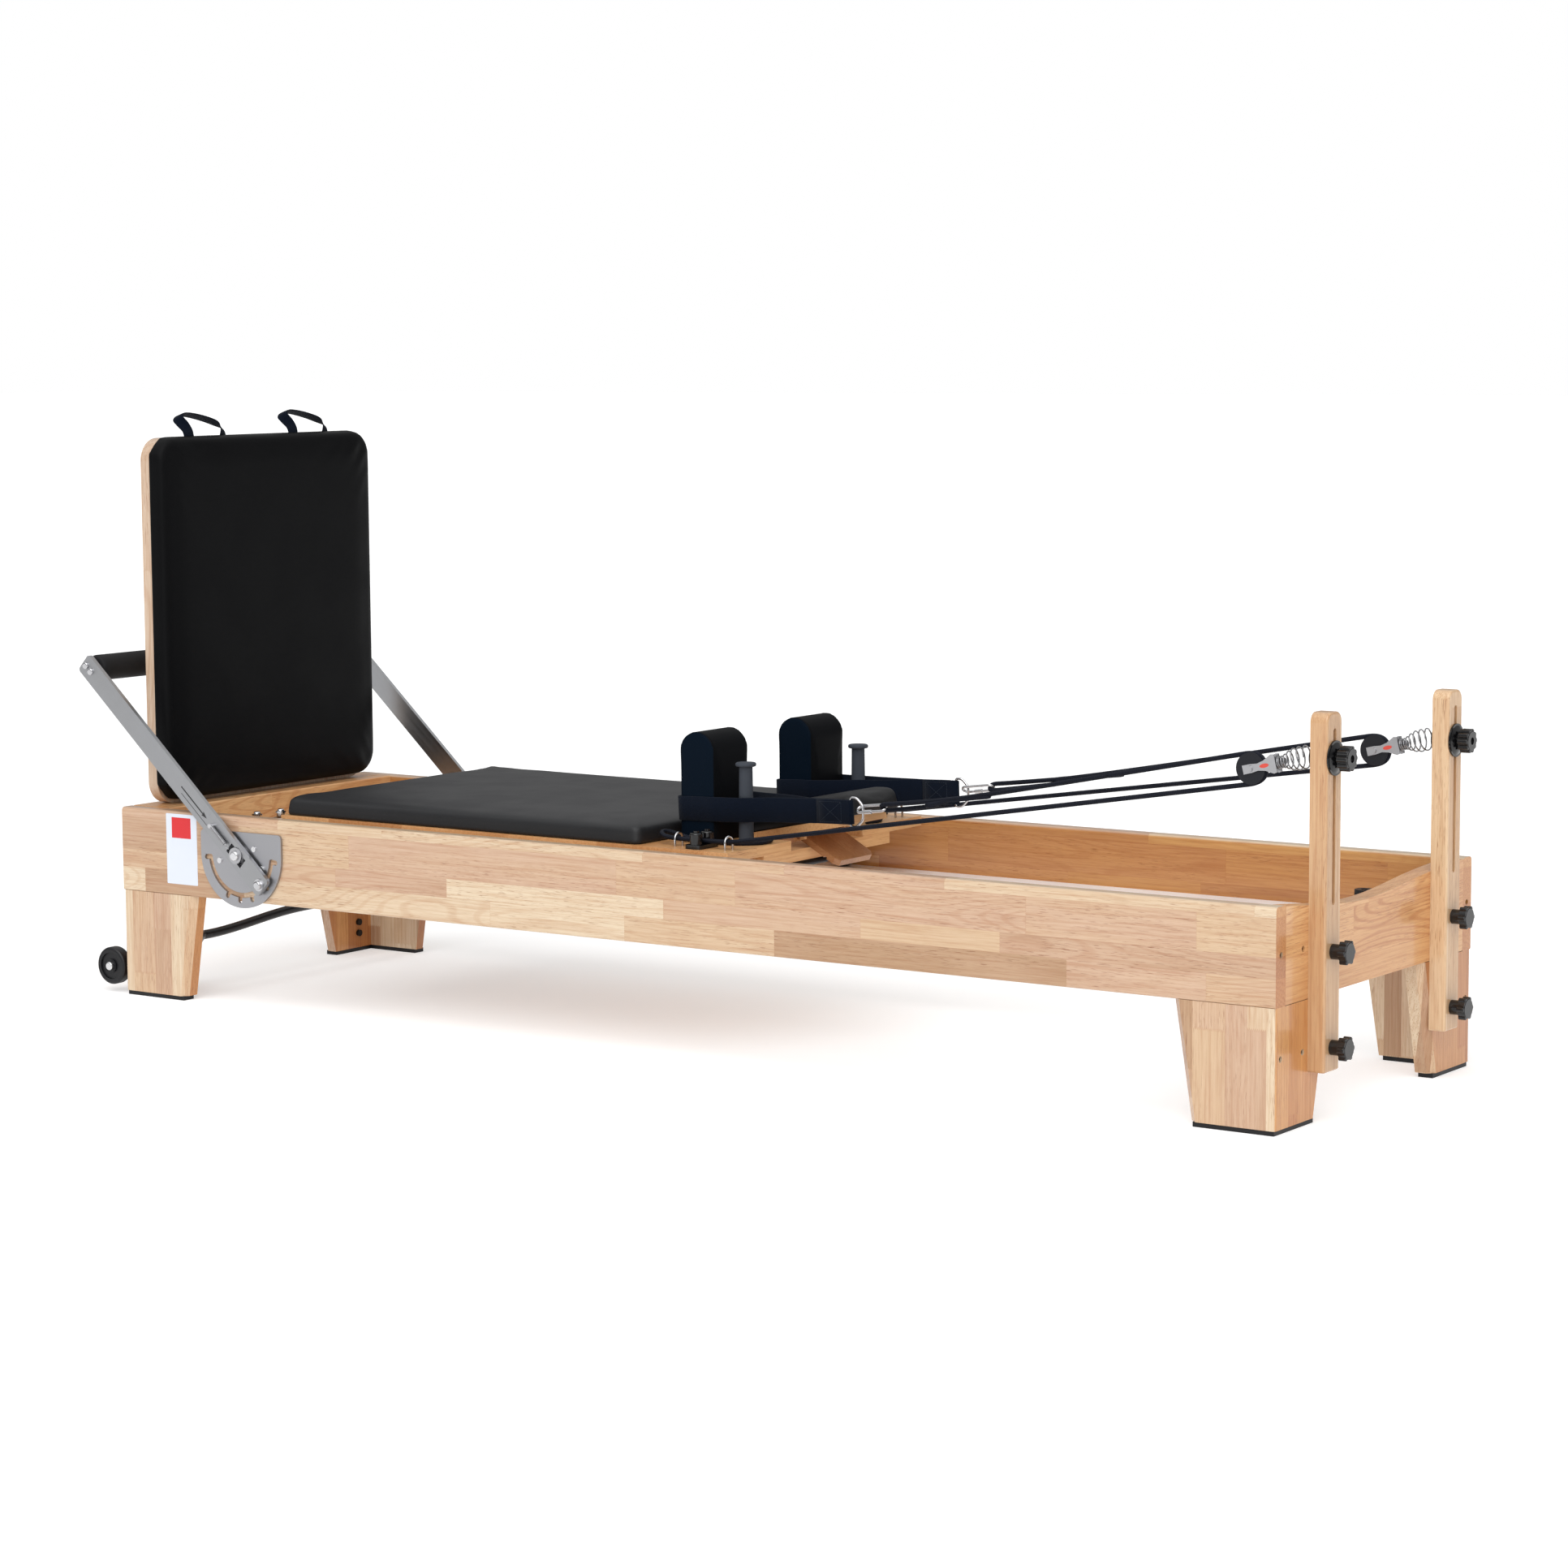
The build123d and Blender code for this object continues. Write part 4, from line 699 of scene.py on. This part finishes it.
def add_pulley_spring(side, material):
    """Conical spring: close small turns at the pulley block, wide open ones at the post."""
    axle, along = pulley_line(side)
    side_way = Vector((0, 1, 0))
    other = along.cross(side_way)
    turns, steps = 7.5, 26
    points = []
    for i in range(int(turns * steps) + 1):
        t = i / (turns * steps)
        swell = min(1.0, max(0.0, (t - 0.28) / 0.5))
        size = 0.0088 + 0.0088 * swell * swell * (3 - 2 * swell)
        turn = 2 * math.pi * turns * t
        points.append(axle + along * (0.0478 + 0.0525 * t ** 1.7)
                      + side_way * (size * math.cos(turn)) + other * (size * math.sin(turn)))
    mesh = tube_mesh("pulley_coil_" + side, points, 0.0012, sides=8)
    piece = add_piece("pulley_coil_" + side, mesh, "pulley_" + side, material)
    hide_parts("pulley_spring_" + side)


def add_resistance_springs(material):
    low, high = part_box("resistance_springs")
    z = (low[2] + high[2]) / 2
    for number, y in enumerate((-0.165, -0.055, 0.055, 0.165)):
        points = helix((low[0], y, z), (high[0], y, z), 0.0114, 120, steps=12)
        name = f"resistance_spring_{number + 1}"
        piece = add_piece(name, tube_mesh(name, points, 0.0015, sides=6), None, material)
        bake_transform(piece)
        if number == 0:
            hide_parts("resistance_springs")


def arm_line():
    """The foot bar's pivot, the direction of its arms in X and Z, and across them."""
    pivot, bar = middle("slide_blocks"), middle("footbar_tube")
    along = Vector((bar.x - pivot.x, 0, bar.z - pivot.z)).normalized()
    return pivot, along, Vector((-along.z, 0, along.x))


def add_arm_springs(material):
    pivot, along, across = arm_line()
    low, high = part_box("arm_springs")
    for side, y in (("near", low[1] + 0.0042), ("far", high[1] - 0.0042)):
        start, end = (Vector((pivot.x, y, pivot.z)) + along * r for r in (0.0175, 0.0735))
        body = helix(start.lerp(end, 0.24), end, 0.0034, 22, steps=14)
        hook = smooth_path([start, start.lerp(end, 0.1) + across * 0.002,
                            start.lerp(end, 0.2) - across * 0.001, body[0]], 5)
        mesh = tube_mesh("arm_coil_" + side, hook[:-1] + body, 0.0008, sides=6)
        piece = add_piece("arm_coil_" + side, mesh, None, material)
        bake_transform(piece)
        if side == "near":
            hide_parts("arm_springs")


# ---- upholstery ----------------------------------------------------------------------
def coordinates(mesh):
    return np.array([v.co for v in mesh.vertices], float).reshape(-1, 3)


def set_coordinates(mesh, points):
    mesh.vertices.foreach_set("co", np.asarray(points, np.float32).ravel())
    mesh.update()


def remeshed(mesh, voxel):
    """The mesh as even quads."""
    carrier = link("carrier", mesh)
    modifier = carrier.modifiers.new("even", "REMESH")
    modifier.mode = "VOXEL"
    modifier.voxel_size = voxel
    result = bpy.data.meshes.new_from_object(evaluated(carrier))
    result.name = mesh.name
    bpy.data.objects.remove(carrier)
    return result


def inflate(piece, held, reach, pressure=4.0):
    """Fills a pad by cloth simulation.  held marks fixed points; none moves over reach."""
    mesh = piece.data
    rest = coordinates(mesh)
    group = piece.vertex_groups.new(name="held")
    group.add([int(i) for i in np.nonzero(held)[0]], 1.0, "REPLACE")
    cloth = piece.modifiers.new("cloth", "CLOTH")
    cloth.settings.vertex_group_mass = "held"
    cloth.settings.use_pressure = True
    cloth.settings.uniform_pressure_force = pressure
    cloth.settings.effector_weights.gravity = 0
    cloth.settings.tension_stiffness = 25
    cloth.settings.compression_stiffness = 25
    cloth.settings.bending_stiffness = 2
    scene = bpy.context.scene
    for number in range(1, 19):
        scene.frame_set(number)
    moved = coordinates(evaluated(piece).data) - rest
    far = np.linalg.norm(moved, axis=1, keepdims=True)
    moved *= np.minimum(1.0, reach / np.maximum(far, 1e-9))
    piece.modifiers.remove(cloth)
    piece.vertex_groups.clear()
    scene.frame_set(1)
    set_coordinates(mesh, rest + moved)


def soften(piece, smooth_steps=4):
    """Evens out the remesh and adds a subdivision, both applied."""
    smooth = piece.modifiers.new("smooth", "SMOOTH")
    smooth.factor, smooth.iterations = 0.5, smooth_steps
    fine = piece.modifiers.new("fine", "SUBSURF")
    fine.levels = fine.render_levels = 1
    mesh = bpy.data.meshes.new_from_object(evaluated(piece))
    piece.modifiers.clear()
    piece.data = mesh
    mesh.shade_smooth()


def slab_mesh(name, size, corner, edge):
    """A slab centred on its base, with round corners in plan and a rounded top edge."""
    long, wide, thick = size
    shape = bmesh.new()
    bmesh.ops.create_cube(shape, size=1.0)
    for vertex in shape.verts:
        vertex.co = Vector((vertex.co.x * long, vertex.co.y * wide, (vertex.co.z + 0.5) * thick))
    upright = [e for e in shape.edges if abs(e.verts[0].co.z - e.verts[1].co.z) > thick / 2]
    bmesh.ops.bevel(shape, geom=upright, offset=corner, segments=10, affect="EDGES", profile=0.5)
    top = [e for e in shape.edges if min(v.co.z for v in e.verts) > thick - 1e-6
           and len({round(f.normal.z) for f in e.link_faces}) == 2]
    bmesh.ops.bevel(shape, geom=top, offset=edge, segments=5, affect="EDGES", profile=0.5)
    return mesh_of(name, shape)


def crown(points, size, height):
    """Lifts the top of a slab towards its middle."""
    long, wide, thick = size
    u = np.clip(1 - (2 * points[:, 0] / long) ** 2, 0, 1)
    v = np.clip(1 - (2 * points[:, 1] / wide) ** 2, 0, 1)
    points[:, 2] += height * (u * v) ** 0.5 * np.clip(points[:, 2] / thick, 0, 1) ** 2
    return points


def add_pad(name, node, body, size, place, corner, edge, material, voxel, reach):
    """A stuffed pad: a slab a little under its space, filled out and put in place."""
    shrink = reach * 0.6
    long, wide, thick = size
    smaller = (long - 2 * shrink, wide - 2 * shrink, thick - shrink)
    mesh = remeshed(slab_mesh(name, smaller, corner, edge), voxel)
    points = coordinates(mesh)
    set_coordinates(mesh, crown(points, smaller, reach * 0.5))
    piece = add_piece(name, mesh, None, material)
    inflate(piece, coordinates(mesh)[:, 2] < voxel * 0.8, reach)
    soften(piece)
    piece.data.transform(place)
    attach(piece, body)
    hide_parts(node)


def add_carriage_pad(material):
    low, high = (Vector(c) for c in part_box("carriage_pad"))
    size = high - low
    place = Matrix.Translation(((low.x + high.x) / 2, 0, low.z))
    add_pad("carriage_cushion", "carriage_pad", "carriage", size, place, 0.016, 0.013,
            material, 0.007, 0.004)


def add_jumpboard_pad(material):
    low, high = (Vector(c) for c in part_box("jumpboard_pad"))
    size = (high.z - low.z, high.y - low.y, high.x - low.x)
    turn = Matrix(((0, 0, 1), (0, -1, 0), (1, 0, 0))).to_4x4()
    place = Matrix.Translation((low.x, 0, (low.z + high.z) / 2)) @ turn
    add_pad("jumpboard_cushion", "jumpboard_pad", "jumpboard", size, place, 0.050, 0.014,
            material, 0.007, 0.004)


HEAD_TILT = 11.5           # degrees
HEAD_LONG = 0.259


def add_headrest_pad(material):
    hinge = next(j for j in frame["joints"] if j["name"] == "headrest_tilt")["pos_m"]
    low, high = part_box("headrest_pad")
    wide = high[1] - low[1]
    tilt = Matrix.Rotation(math.radians(-HEAD_TILT), 4, "Y")
    place = Matrix.Translation(hinge) @ tilt @ Matrix.Translation((0.002 + HEAD_LONG / 2, 0, 0.0103))
    add_pad("headrest_cushion", "headrest_pad", "headrest", (HEAD_LONG, wide, 0.0397), place,
            0.018, 0.015, material, 0.005, 0.003)


def arch_outline(x0, x1, base, top, steps=20):
    """Up one side, over a half circle and down the other, in X and Z."""
    radius = (x1 - x0) / 2
    outline = [(x1, base), (x1, (base + top - radius) / 2)]
    for i in range(steps + 1):
        turn = math.pi * i / steps
        outline.append(((x0 + x1) / 2 + radius * math.cos(turn),
                        top - radius + radius * math.sin(turn)))
    return outline + [(x0, (base + top - radius) / 2), (x0, base)]


def on_surface(mesh, points, lift):
    """The points moved to the mesh's surface, and lift above it."""
    tree = BVHTree.FromPolygons([v.co for v in mesh.vertices], [p.vertices for p in mesh.polygons])
    moved = []
    for point in points:
        spot, normal, _, _ = tree.find_nearest(point)
        moved.append(spot + normal * lift)
    return moved


REST_WIDE = 0.104


def add_shoulder_rest(side, sign, material):
    """Arched bolster with a flat end panel each side, sewn in with a fine corded seam."""
    low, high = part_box("shoulder_rests")
    base, top = low[2], high[2]
    x0, x1 = low[0] + 0.001, high[0] - 0.001
    outer, inner = high[1] - 0.001, high[1] - REST_WIDE + 0.001
    shape = bmesh.new()
    outline = arch_outline(x0, x1, base, top - 0.001)
    near = [shape.verts.new((x, sign * inner, z)) for x, z in outline]
    far = [shape.verts.new((x, sign * outer, z)) for x, z in outline]
    count = len(outline)
    for i in range(count):
        j = (i + 1) % count
        shape.faces.new((near[i], near[j], far[j], far[i]))
    shape.faces.new(near[::-1])
    shape.faces.new(far)
    bmesh.ops.recalc_face_normals(shape, faces=shape.faces)
    name = "shoulder_rest_" + side
    mesh = remeshed(mesh_of(name, shape), 0.0035)
    piece = add_piece(name, mesh, None, material)
    inflate(piece, coordinates(piece.data)[:, 2] < base + 0.004, 0.0012, pressure=5.0)
    soften(piece, smooth_steps=2)
    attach(piece, "carriage")
    for label, y in (("outer", outer), ("inner", inner)):
        seam = refine([Vector((x, sign * y, z)) for x, z in
                       arch_outline(x0, x1, base + 0.002, top - 0.001, steps=36)], 0.005)
        seam = on_surface(piece.data, seam, 0.0)
        name = f"rest_seam_{side}_{label}"
        add_piece(name, tube_mesh(name, seam, 0.0010, sides=8), "carriage", material)
    return piece


def add_footbar_pad(material):
    """Foam sleeve on the cross bar, a little uneven and rounded at its ends."""
    low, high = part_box("footbar_pad")
    centre = middle("footbar_pad")
    radius = (high[2] - low[2]) / 2
    half = (high[1] - low[1]) / 2
    rings = [(-half, 0.62), (-half, 0.80), (-half + 0.0015, 0.92), (-half + 0.005, 0.985)]
    count = 90
    rings += [(-half + 0.010 + (2 * half - 0.020) * i / count, 0.99) for i in range(count + 1)]
    rings += [(-y, share) for y, share in reversed(rings[:4])]
    sides = 48
    vertices = []
    for y, share in reversed(rings):
        for k in range(sides):
            turn = 2 * math.pi * k / sides
            spot = Vector((math.cos(turn) * 2, y * 22, math.sin(turn) * 2))
            size = radius * share * (1 - 0.012 * (0.5 + 0.5 * noise.noise(spot)))
            vertices.append((centre.x + size * math.cos(turn), y, centre.z + size * math.sin(turn)))
    along = [-y for y, _ in reversed(rings)]
    across = [k / sides for k in range(sides + 1)]
    mesh = swept_mesh("footbar_sleeve", vertices, along, across, [(u, 0.0) for u in across[:-1]])
    piece = add_piece("footbar_sleeve", mesh, "footbar", material)
    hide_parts("footbar_pad")


# ---- webbing -------------------------------------------------------------------------
STRAP_WIDE, STRAP_THICK, STRAP_TILT = 0.042, 0.0024, 1.8
FOLD_RADIUS = 0.0046                       # of the strap's turn round the D-ring
HANDLE_Y, HANDLE_HALF, HANDLE_THICK = 0.144, 0.0115, 0.002     # the jumpboard's loops
RING = (1.508, 0.165, 0.4205)              # middle of the strap's fold at the D-ring


def strap_place(sign):
    """From a strap lying level round its ring's height to its small tilt."""
    ring = at(RING[0], sign * RING[1], RING[2])
    tilt = Matrix.Rotation(math.radians(-STRAP_TILT), 4, "Y")
    return Matrix.Translation(ring) @ tilt @ Matrix.Translation(-ring)


def waved(points, sign):
    """Gives a strap's points a slight sag, and its width a slight lean."""
    widths = []
    for point in points:
        point.z += 0.0016 * noise.noise(Vector((point.x * 14, point.y * 14, 3.0 + sign)))
        lean = 0.10 * noise.noise(Vector((point.x * 9, point.y * 9, 7.0 * sign)))
        widths.append(Vector((0, lean, 1)).normalized() * (STRAP_WIDE / 2))
    return widths


def add_strap(side, sign, material, thread):
    """Webbing loop round the shoulder rest and peg, sewn flat and folded round the D-ring."""
    low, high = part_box("shoulder_rests")
    gap, out, corner = 0.003, 0.002, 0.006
    x0, x1 = low[0] - gap, high[0] + gap
    ya, yb = high[1] - REST_WIDE - out, high[1] + out
    ring = at(*RING)
    layer = STRAP_THICK / 2 + 0.0001
    loop = [(ring.x - 0.012, ring.y + layer), (ring.x - 0.064, ring.y + layer),
            (x1 + 0.09, yb - 0.0185), (x1 + 0.045, yb - 0.0075), (x1, yb - 0.001),
            (x1 - corner, yb), (x0 + corner, yb), (x0, yb - corner), (x0, ya + corner),
            (x0 + corner, ya), (x1 - corner, ya), (x1, ya + 0.002), (x1 + 0.05, ya + 0.020),
            (ring.x - 0.064, ring.y - layer), (ring.x - 0.012, ring.y - layer)]
    path = refine([Vector((x, sign * y, ring.z)) for x, y in loop], 0.011)
    name = "strap_" + side
    mesh = band_mesh(name, path, waved(path, sign), STRAP_THICK)
    strap = add_piece(name, mesh, None, material)
    reach = 3 * layer
    fold = [Vector((ring.x - d, sign * (ring.y + reach), ring.z))
            for d in (0.066, 0.046, 0.026, 0.010)]
    for turn in range(90, -91, -15):
        a = math.radians(turn)
        fold.append(Vector((ring.x + FOLD_RADIUS * math.cos(a),
                            sign * (ring.y + FOLD_RADIUS * math.sin(a)), ring.z)))
    fold += [Vector((p.x, 2 * sign * ring.y - p.y, p.z)) for p in reversed(fold[:4])]
    half = Vector((0, 0, STRAP_WIDE / 2 - 0.0004))
    name = "strap_end_" + side
    mesh = band_mesh(name, fold, [half] * len(fold), STRAP_THICK)
    end = add_piece(name, mesh, None, material)
    for piece in (strap, end):
        piece.data.transform(strap_place(sign))
        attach(piece, "carriage")
    add_stitches(side, sign, ring, thread)
    return strap


def add_stitches(side, sign, ring, thread):
    """Box with a cross, sewn through the strap's folded end."""
    x0, x1, z0, z1 = ring.x - 0.060, ring.x - 0.016, ring.z - 0.017, ring.z + 0.017
    runs = [((x0, z0), (x1, z0)), ((x1, z0), (x1, z1)), ((x1, z1), (x0, z1)), ((x0, z1), (x0, z0)),
            ((x0, z0), (x1, z1)), ((x0, z1), (x1, z0))]
    meshes = bmesh.new()
    for (xa, za), (xb, zb) in runs:
        count = max(2, int(math.hypot(xb - xa, zb - za) / 0.0042))
        for i in range(count):
            a, b = i / count, (i + 0.62) / count
            for face in (1, -1):
                y = sign * ring.y + face * 0.0051
                ends = [Vector((xa + (xb - xa) * t, y, za + (zb - za) * t))
                        for t in (a, (a + b) / 2, b)]
                stitch = tube_mesh("stitch", ends, [0.0003, 0.0005, 0.0003], sides=5)
                meshes.from_mesh(stitch)
                bpy.data.meshes.remove(stitch)
    name = "strap_stitches_" + side
    piece = add_piece(name, mesh_of(name, meshes), None, thread)
    piece.data.transform(strap_place(sign))
    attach(piece, "carriage")


def add_handle(name, y, material):
    """Webbing loop on the jumpboard's top edge: its ends go down behind the pad."""
    low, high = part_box("jumpboard_pad")
    top, x = high[2], low[0] + 0.004
    spots = [(x, y - 0.044, top - 0.008), (x - 0.003, y - 0.045, top + 0.004),
             (x - 0.012, y - 0.049, top + 0.017), (x - 0.020, y - 0.051, top + 0.0265),
             (x - 0.022, y - 0.043, top + 0.0335), (x - 0.020, y - 0.022, top + 0.0325),
             (x - 0.015, y + 0.006, top + 0.0265), (x - 0.008, y + 0.032, top + 0.0175),
             (x - 0.001, y + 0.046, top + 0.006), (x, y + 0.047, top - 0.008)]
    ways = [(0.2, 1, 0), (0.3, 1, 0.1), (0.7, 0.75, 0.3), (0.95, 0.35, 0.34), (1, 0.05, 0.35),
            (1, 0, 0.36), (1, 0, 0.38), (0.95, -0.15, 0.36), (0.5, -0.8, 0.15), (0.2, -1, 0)]
    centres = smooth_path(spots, 6)
    widths = [w.normalized() * HANDLE_HALF for w in smooth_path([Vector(w) for w in ways], 6)]
    mesh = band_mesh(name, centres, widths, HANDLE_THICK)
    piece = add_piece(name, mesh, "jumpboard", material)
    fine = piece.modifiers.new("fine", "SUBSURF")
    fine.levels = fine.render_levels = 1
    return piece


# ---- small trim ----------------------------------------------------------------------
def flat_piece(name, outline, lift, body, material):
    """A thin plate from an outline and the vector it is thick along."""
    count = len(outline)
    lift = Vector(lift)
    vertices = [Vector(p) for p in outline] + [Vector(p) + lift for p in outline]
    faces = [tuple(range(count))[::-1], tuple(range(count, 2 * count))]
    faces += [(i, (i + 1) % count, count + (i + 1) % count, count + i) for i in range(count)]
    mesh = new_mesh(name, vertices, faces)
    add_piece(name, mesh, body, material)
    mesh.shade_flat()


def rounded_rectangle(x0, x1, z0, z1, radius, steps=6):
    outline = []
    for cx, cz, first in ((x1 - radius, z1 - radius, 0), (x0 + radius, z1 - radius, 90),
                          (x0 + radius, z0 + radius, 180), (x1 - radius, z0 + radius, 270)):
        for i in range(steps + 1):
            a = math.radians(first + 90 * i / steps)
            outline.append((cx + radius * math.cos(a), cz + radius * math.sin(a)))
    return outline


def add_label(white, red):
    """Blank sticker on the near rail: a white sheet with a plain red panel."""
    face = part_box("side_rail_near")[0][1]
    sheet, panel = (0.112, 0.188, 0.2175, 0.3475, 0.002), (0.126, 0.173, 0.303, 0.341, 0.001)
    for name, (x0, x1, *rest), y, thick, material in (
            ("label_sheet", sheet, face, 0.0003, white),
            ("label_panel", panel, face - 0.0003, 0.0001, red)):
        outline = rounded_rectangle(FOOT + x0, FOOT + x1, *rest)
        flat_piece(name, [(x, y, z) for x, z in outline], (0, -thick, 0), "frame", material)


def add_arm_marks(black):
    """A plain arrow and a line on the near arm, which point down to its spring."""
    pivot, along, across = arm_line()
    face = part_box("footbar_arms")[0][1]

    def spot(reach, side):
        point = pivot + along * reach + across * side
        return (point.x, face, point.z)

    arrow = [(0.094, 0.0), (0.108, 0.0045), (0.106, 0.0012), (0.176, 0.0012), (0.176, -0.0012),
             (0.106, -0.0012), (0.108, -0.0045)]
    line = [(0.086, 0.0097), (0.168, 0.0097), (0.168, 0.0088), (0.086, 0.0088)]
    for name, outline in (("arm_arrow", arrow), ("arm_line", line)):
        flat_piece(name, [spot(r, s) for r, s in outline], (0, -0.0002, 0), "footbar", black)


def add_pulley_badges(red):
    """Plain red ovals on the outer faces of the pulley cheeks."""
    for side in ("near", "far"):
        axle, along = pulley_line(side)
        across = Vector((-along.z, 0, along.x))
        for face, y in ((-1, axle.y - 0.0092), (1, axle.y + 0.0092)):
            outline = []
            for i in range(28):
                a = 2 * math.pi * i / 28
                point = axle + along * (0.026 + 0.008 * math.cos(a)) + across * (0.0033 * math.sin(a))
                outline.append((point.x, y, point.z))
            name = "pulley_badge_%s_%s" % (side, "out" if face < 0 else "in")
            flat_piece(name, outline, (0, face * 0.0004, 0), "pulley_" + side, red)


# ---- put it together -----------------------------------------------------------------
def add_materials():
    _, arm, _ = arm_line()
    made = {
        # Rail: end grain tint on its ends, painted shade on its faces inside the bed.
        "rail": wood("rail_wood", RAIL_TONES, ("X", "Z", "Y"), row=0.047, stave=0.40,
                     ends_grain_and_painted_shade=True, painted_shade_inside=True),
        "board": wood("board_wood", WARM_TONES, ("Y", "Z", "X"), row=0.082, stave=0.62,
                      figure=0.7),
        # Leg: the end tint falls on side-grain faces, so here it is painted shade.
        "leg": wood("leg_wood", RAIL_TONES, ("Z", "XY", "Y"), row=0.043, stave=0.30, finger=2.4,
                    figure=0.15, ends_grain_and_painted_shade=True),
        "riser": wood("riser_wood", RISER_TONES, ("Z", "Y", "X"), row=0.09, stave=2.0, figure=0.2),
        "deck": wood("deck_wood", WARM_TONES, ("Y", "X", "Z"), row=0.14, stave=1.4, coat=0.25),
        "back": wood("back_wood", EDGE_TONES, ("Z", "Y", "X"), row=0.06, stave=0.7),
        "prop": wood("prop_wood", DARK_TONES, ("X", "Y", "Z"), row=0.14, stave=1.0, coat=0.2),
        "vinyl": vinyl("black_vinyl", (0.0055, 0.0058, 0.0068)),
        "carriage": vinyl("carriage_vinyl", (0.0078, 0.0082, 0.0096), specular=0.37, specks=0.6),
        "jump": vinyl("jump_vinyl", (0.0020, 0.0021, 0.0026), specular=0.08, specks=0.12),
        "rest": vinyl("rest_vinyl", (0.0042, 0.0046, 0.0056), (0.0022, 0.0060, 0.0125),
                      specular=0.03, specks=0.07),
        "webbing": webbing("black_webbing", (0.0018, 0.0038, 0.0090)),
        "rope": braid("rope_cover", (0.003, 0.004, 0.008)),
        "thread": plain("thread", (0.003, 0.010, 0.022), 0.6),
        "foam": plain("black_foam", (0.010, 0.010, 0.011), 0.75, grain=900.0, depth=0.0002,
                      Specular_IOR_Level=0.25),
        "peg": plain("grey_foam", (0.040, 0.047, 0.060), 0.8, grain=700.0, depth=0.0003,
                     Specular_IOR_Level=0.3),
        "rubber": plain("black_rubber", (0.006, 0.006, 0.0075), 0.45, grain=300.0, depth=0.0001,
                        Specular_IOR_Level=0.35),
        "steel": brushed("brushed_steel", (0.40, 0.405, 0.42), 0.34, (arm.x, arm.z)),
        "plate": plain("blasted_steel", (0.42, 0.42, 0.44), 0.42, grain=700.0, depth=0.00005,
                       Metallic=1.0),
        "zinc": plain("zinc_steel", (0.46, 0.46, 0.475), 0.32, Metallic=1.0),
        "chrome": plain("chrome", (0.52, 0.52, 0.535), 0.13, vary=0.04, depth=0.00001, Metallic=1.0),
        "spring": plain("spring_steel", (0.27, 0.27, 0.28), 0.22, vary=0.06, Metallic=1.0),
        "bolts": bolt_steel("bolt_steel"),
        "track": plain("track_aluminium", (0.93, 0.93, 0.94), 0.35, vary=0.03, Metallic=0.1),
        "black": plain("black_gloss", (0.0035, 0.0035, 0.004), 0.16, grain=250.0,
                       Specular_IOR_Level=0.5),
        "matte": plain("black_matte", (0.007, 0.008, 0.012), 0.45, grain=500.0,
                       Specular_IOR_Level=0.3),
        "paint": plain("black_paint", (0.004, 0.004, 0.005), 0.3, grain=250.0,
                       Specular_IOR_Level=0.35),
        "white": plain("label_white", (0.66, 0.70, 0.78), 0.45, vary=0.03),
        "red": plain("label_red", (0.62, 0.014, 0.020), 0.4, vary=0.05),
        "badge": plain("badge_red", (0.60, 0.06, 0.04), 0.35, vary=0.05),
    }
    return made


DRESSING = {               # materials of the CAD nodes; a star stands for both _near and _far
    "rail": "side_rail*",
    "board": "head_board foot_end_boards stop_bar",
    "leg": "leg_head* leg_foot*",
    "riser": "risers",
    "back": "jumpboard_back",
    "deck": "carriage_frame headrest_board",
    "prop": "headrest_prop",
    "rubber": "foot_pads rubber_bumpers transport_wheel*",
    "steel": "footbar_arms footbar_tube",
    "plate": "quadrants",
    "zinc": "slide_blocks spring_bar jumpboard_sockets jumpboard_straps pulley_block*",
    "bolts": "frame_bolts",
    "chrome": "footbar_bolts stop_posts rope_hardware",
    "track": "tracks",
    "paint": "cross_tube carriage_brackets wheel_brackets",
    "black": "riser_knobs pulley_clamp* pulley_knob* cleats",
    "matte": "sheave* axle_set_foot axle_set_head",
    "peg": "rest_pegs",
}


def dress_frame(m):
    for material, names in DRESSING.items():
        for name in names.split():
            ends = ("_near", "_far") if name.endswith("*") else ("",)
            for end in ends:
                for place in frame["nodes"][name.rstrip("*") + end].material_slots:
                    place.material = m[material]


add_camera()
m = add_materials()
for side, sign in (("near", -1), ("far", 1)):
    add_rope(side, sign, m["rope"])
    add_sleeve(side, sign, m["rope"])
add_studio()
dress_frame(m)
for side, sign in (("near", -1), ("far", 1)):
    add_pulley_spring(side, m["spring"])
    rest = add_shoulder_rest(side, sign, m["rest"])
    strap = add_strap(side, sign, m["webbing"], m["thread"])
    if side == "near":
        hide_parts("shoulder_rests")
        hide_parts("straps")
add_resistance_springs(m["zinc"])
add_arm_springs(m["zinc"])
add_carriage_pad(m["carriage"])
add_jumpboard_pad(m["jump"])
add_headrest_pad(m["vinyl"])
add_footbar_pad(m["foam"])
handle = add_handle("handle_near", -HANDLE_Y, m["webbing"])
add_handle("handle_far", HANDLE_Y, m["webbing"])
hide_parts("jumpboard_handles")
add_label(m["white"], m["red"])
add_arm_marks(m["black"])
add_pulley_badges(m["badge"])
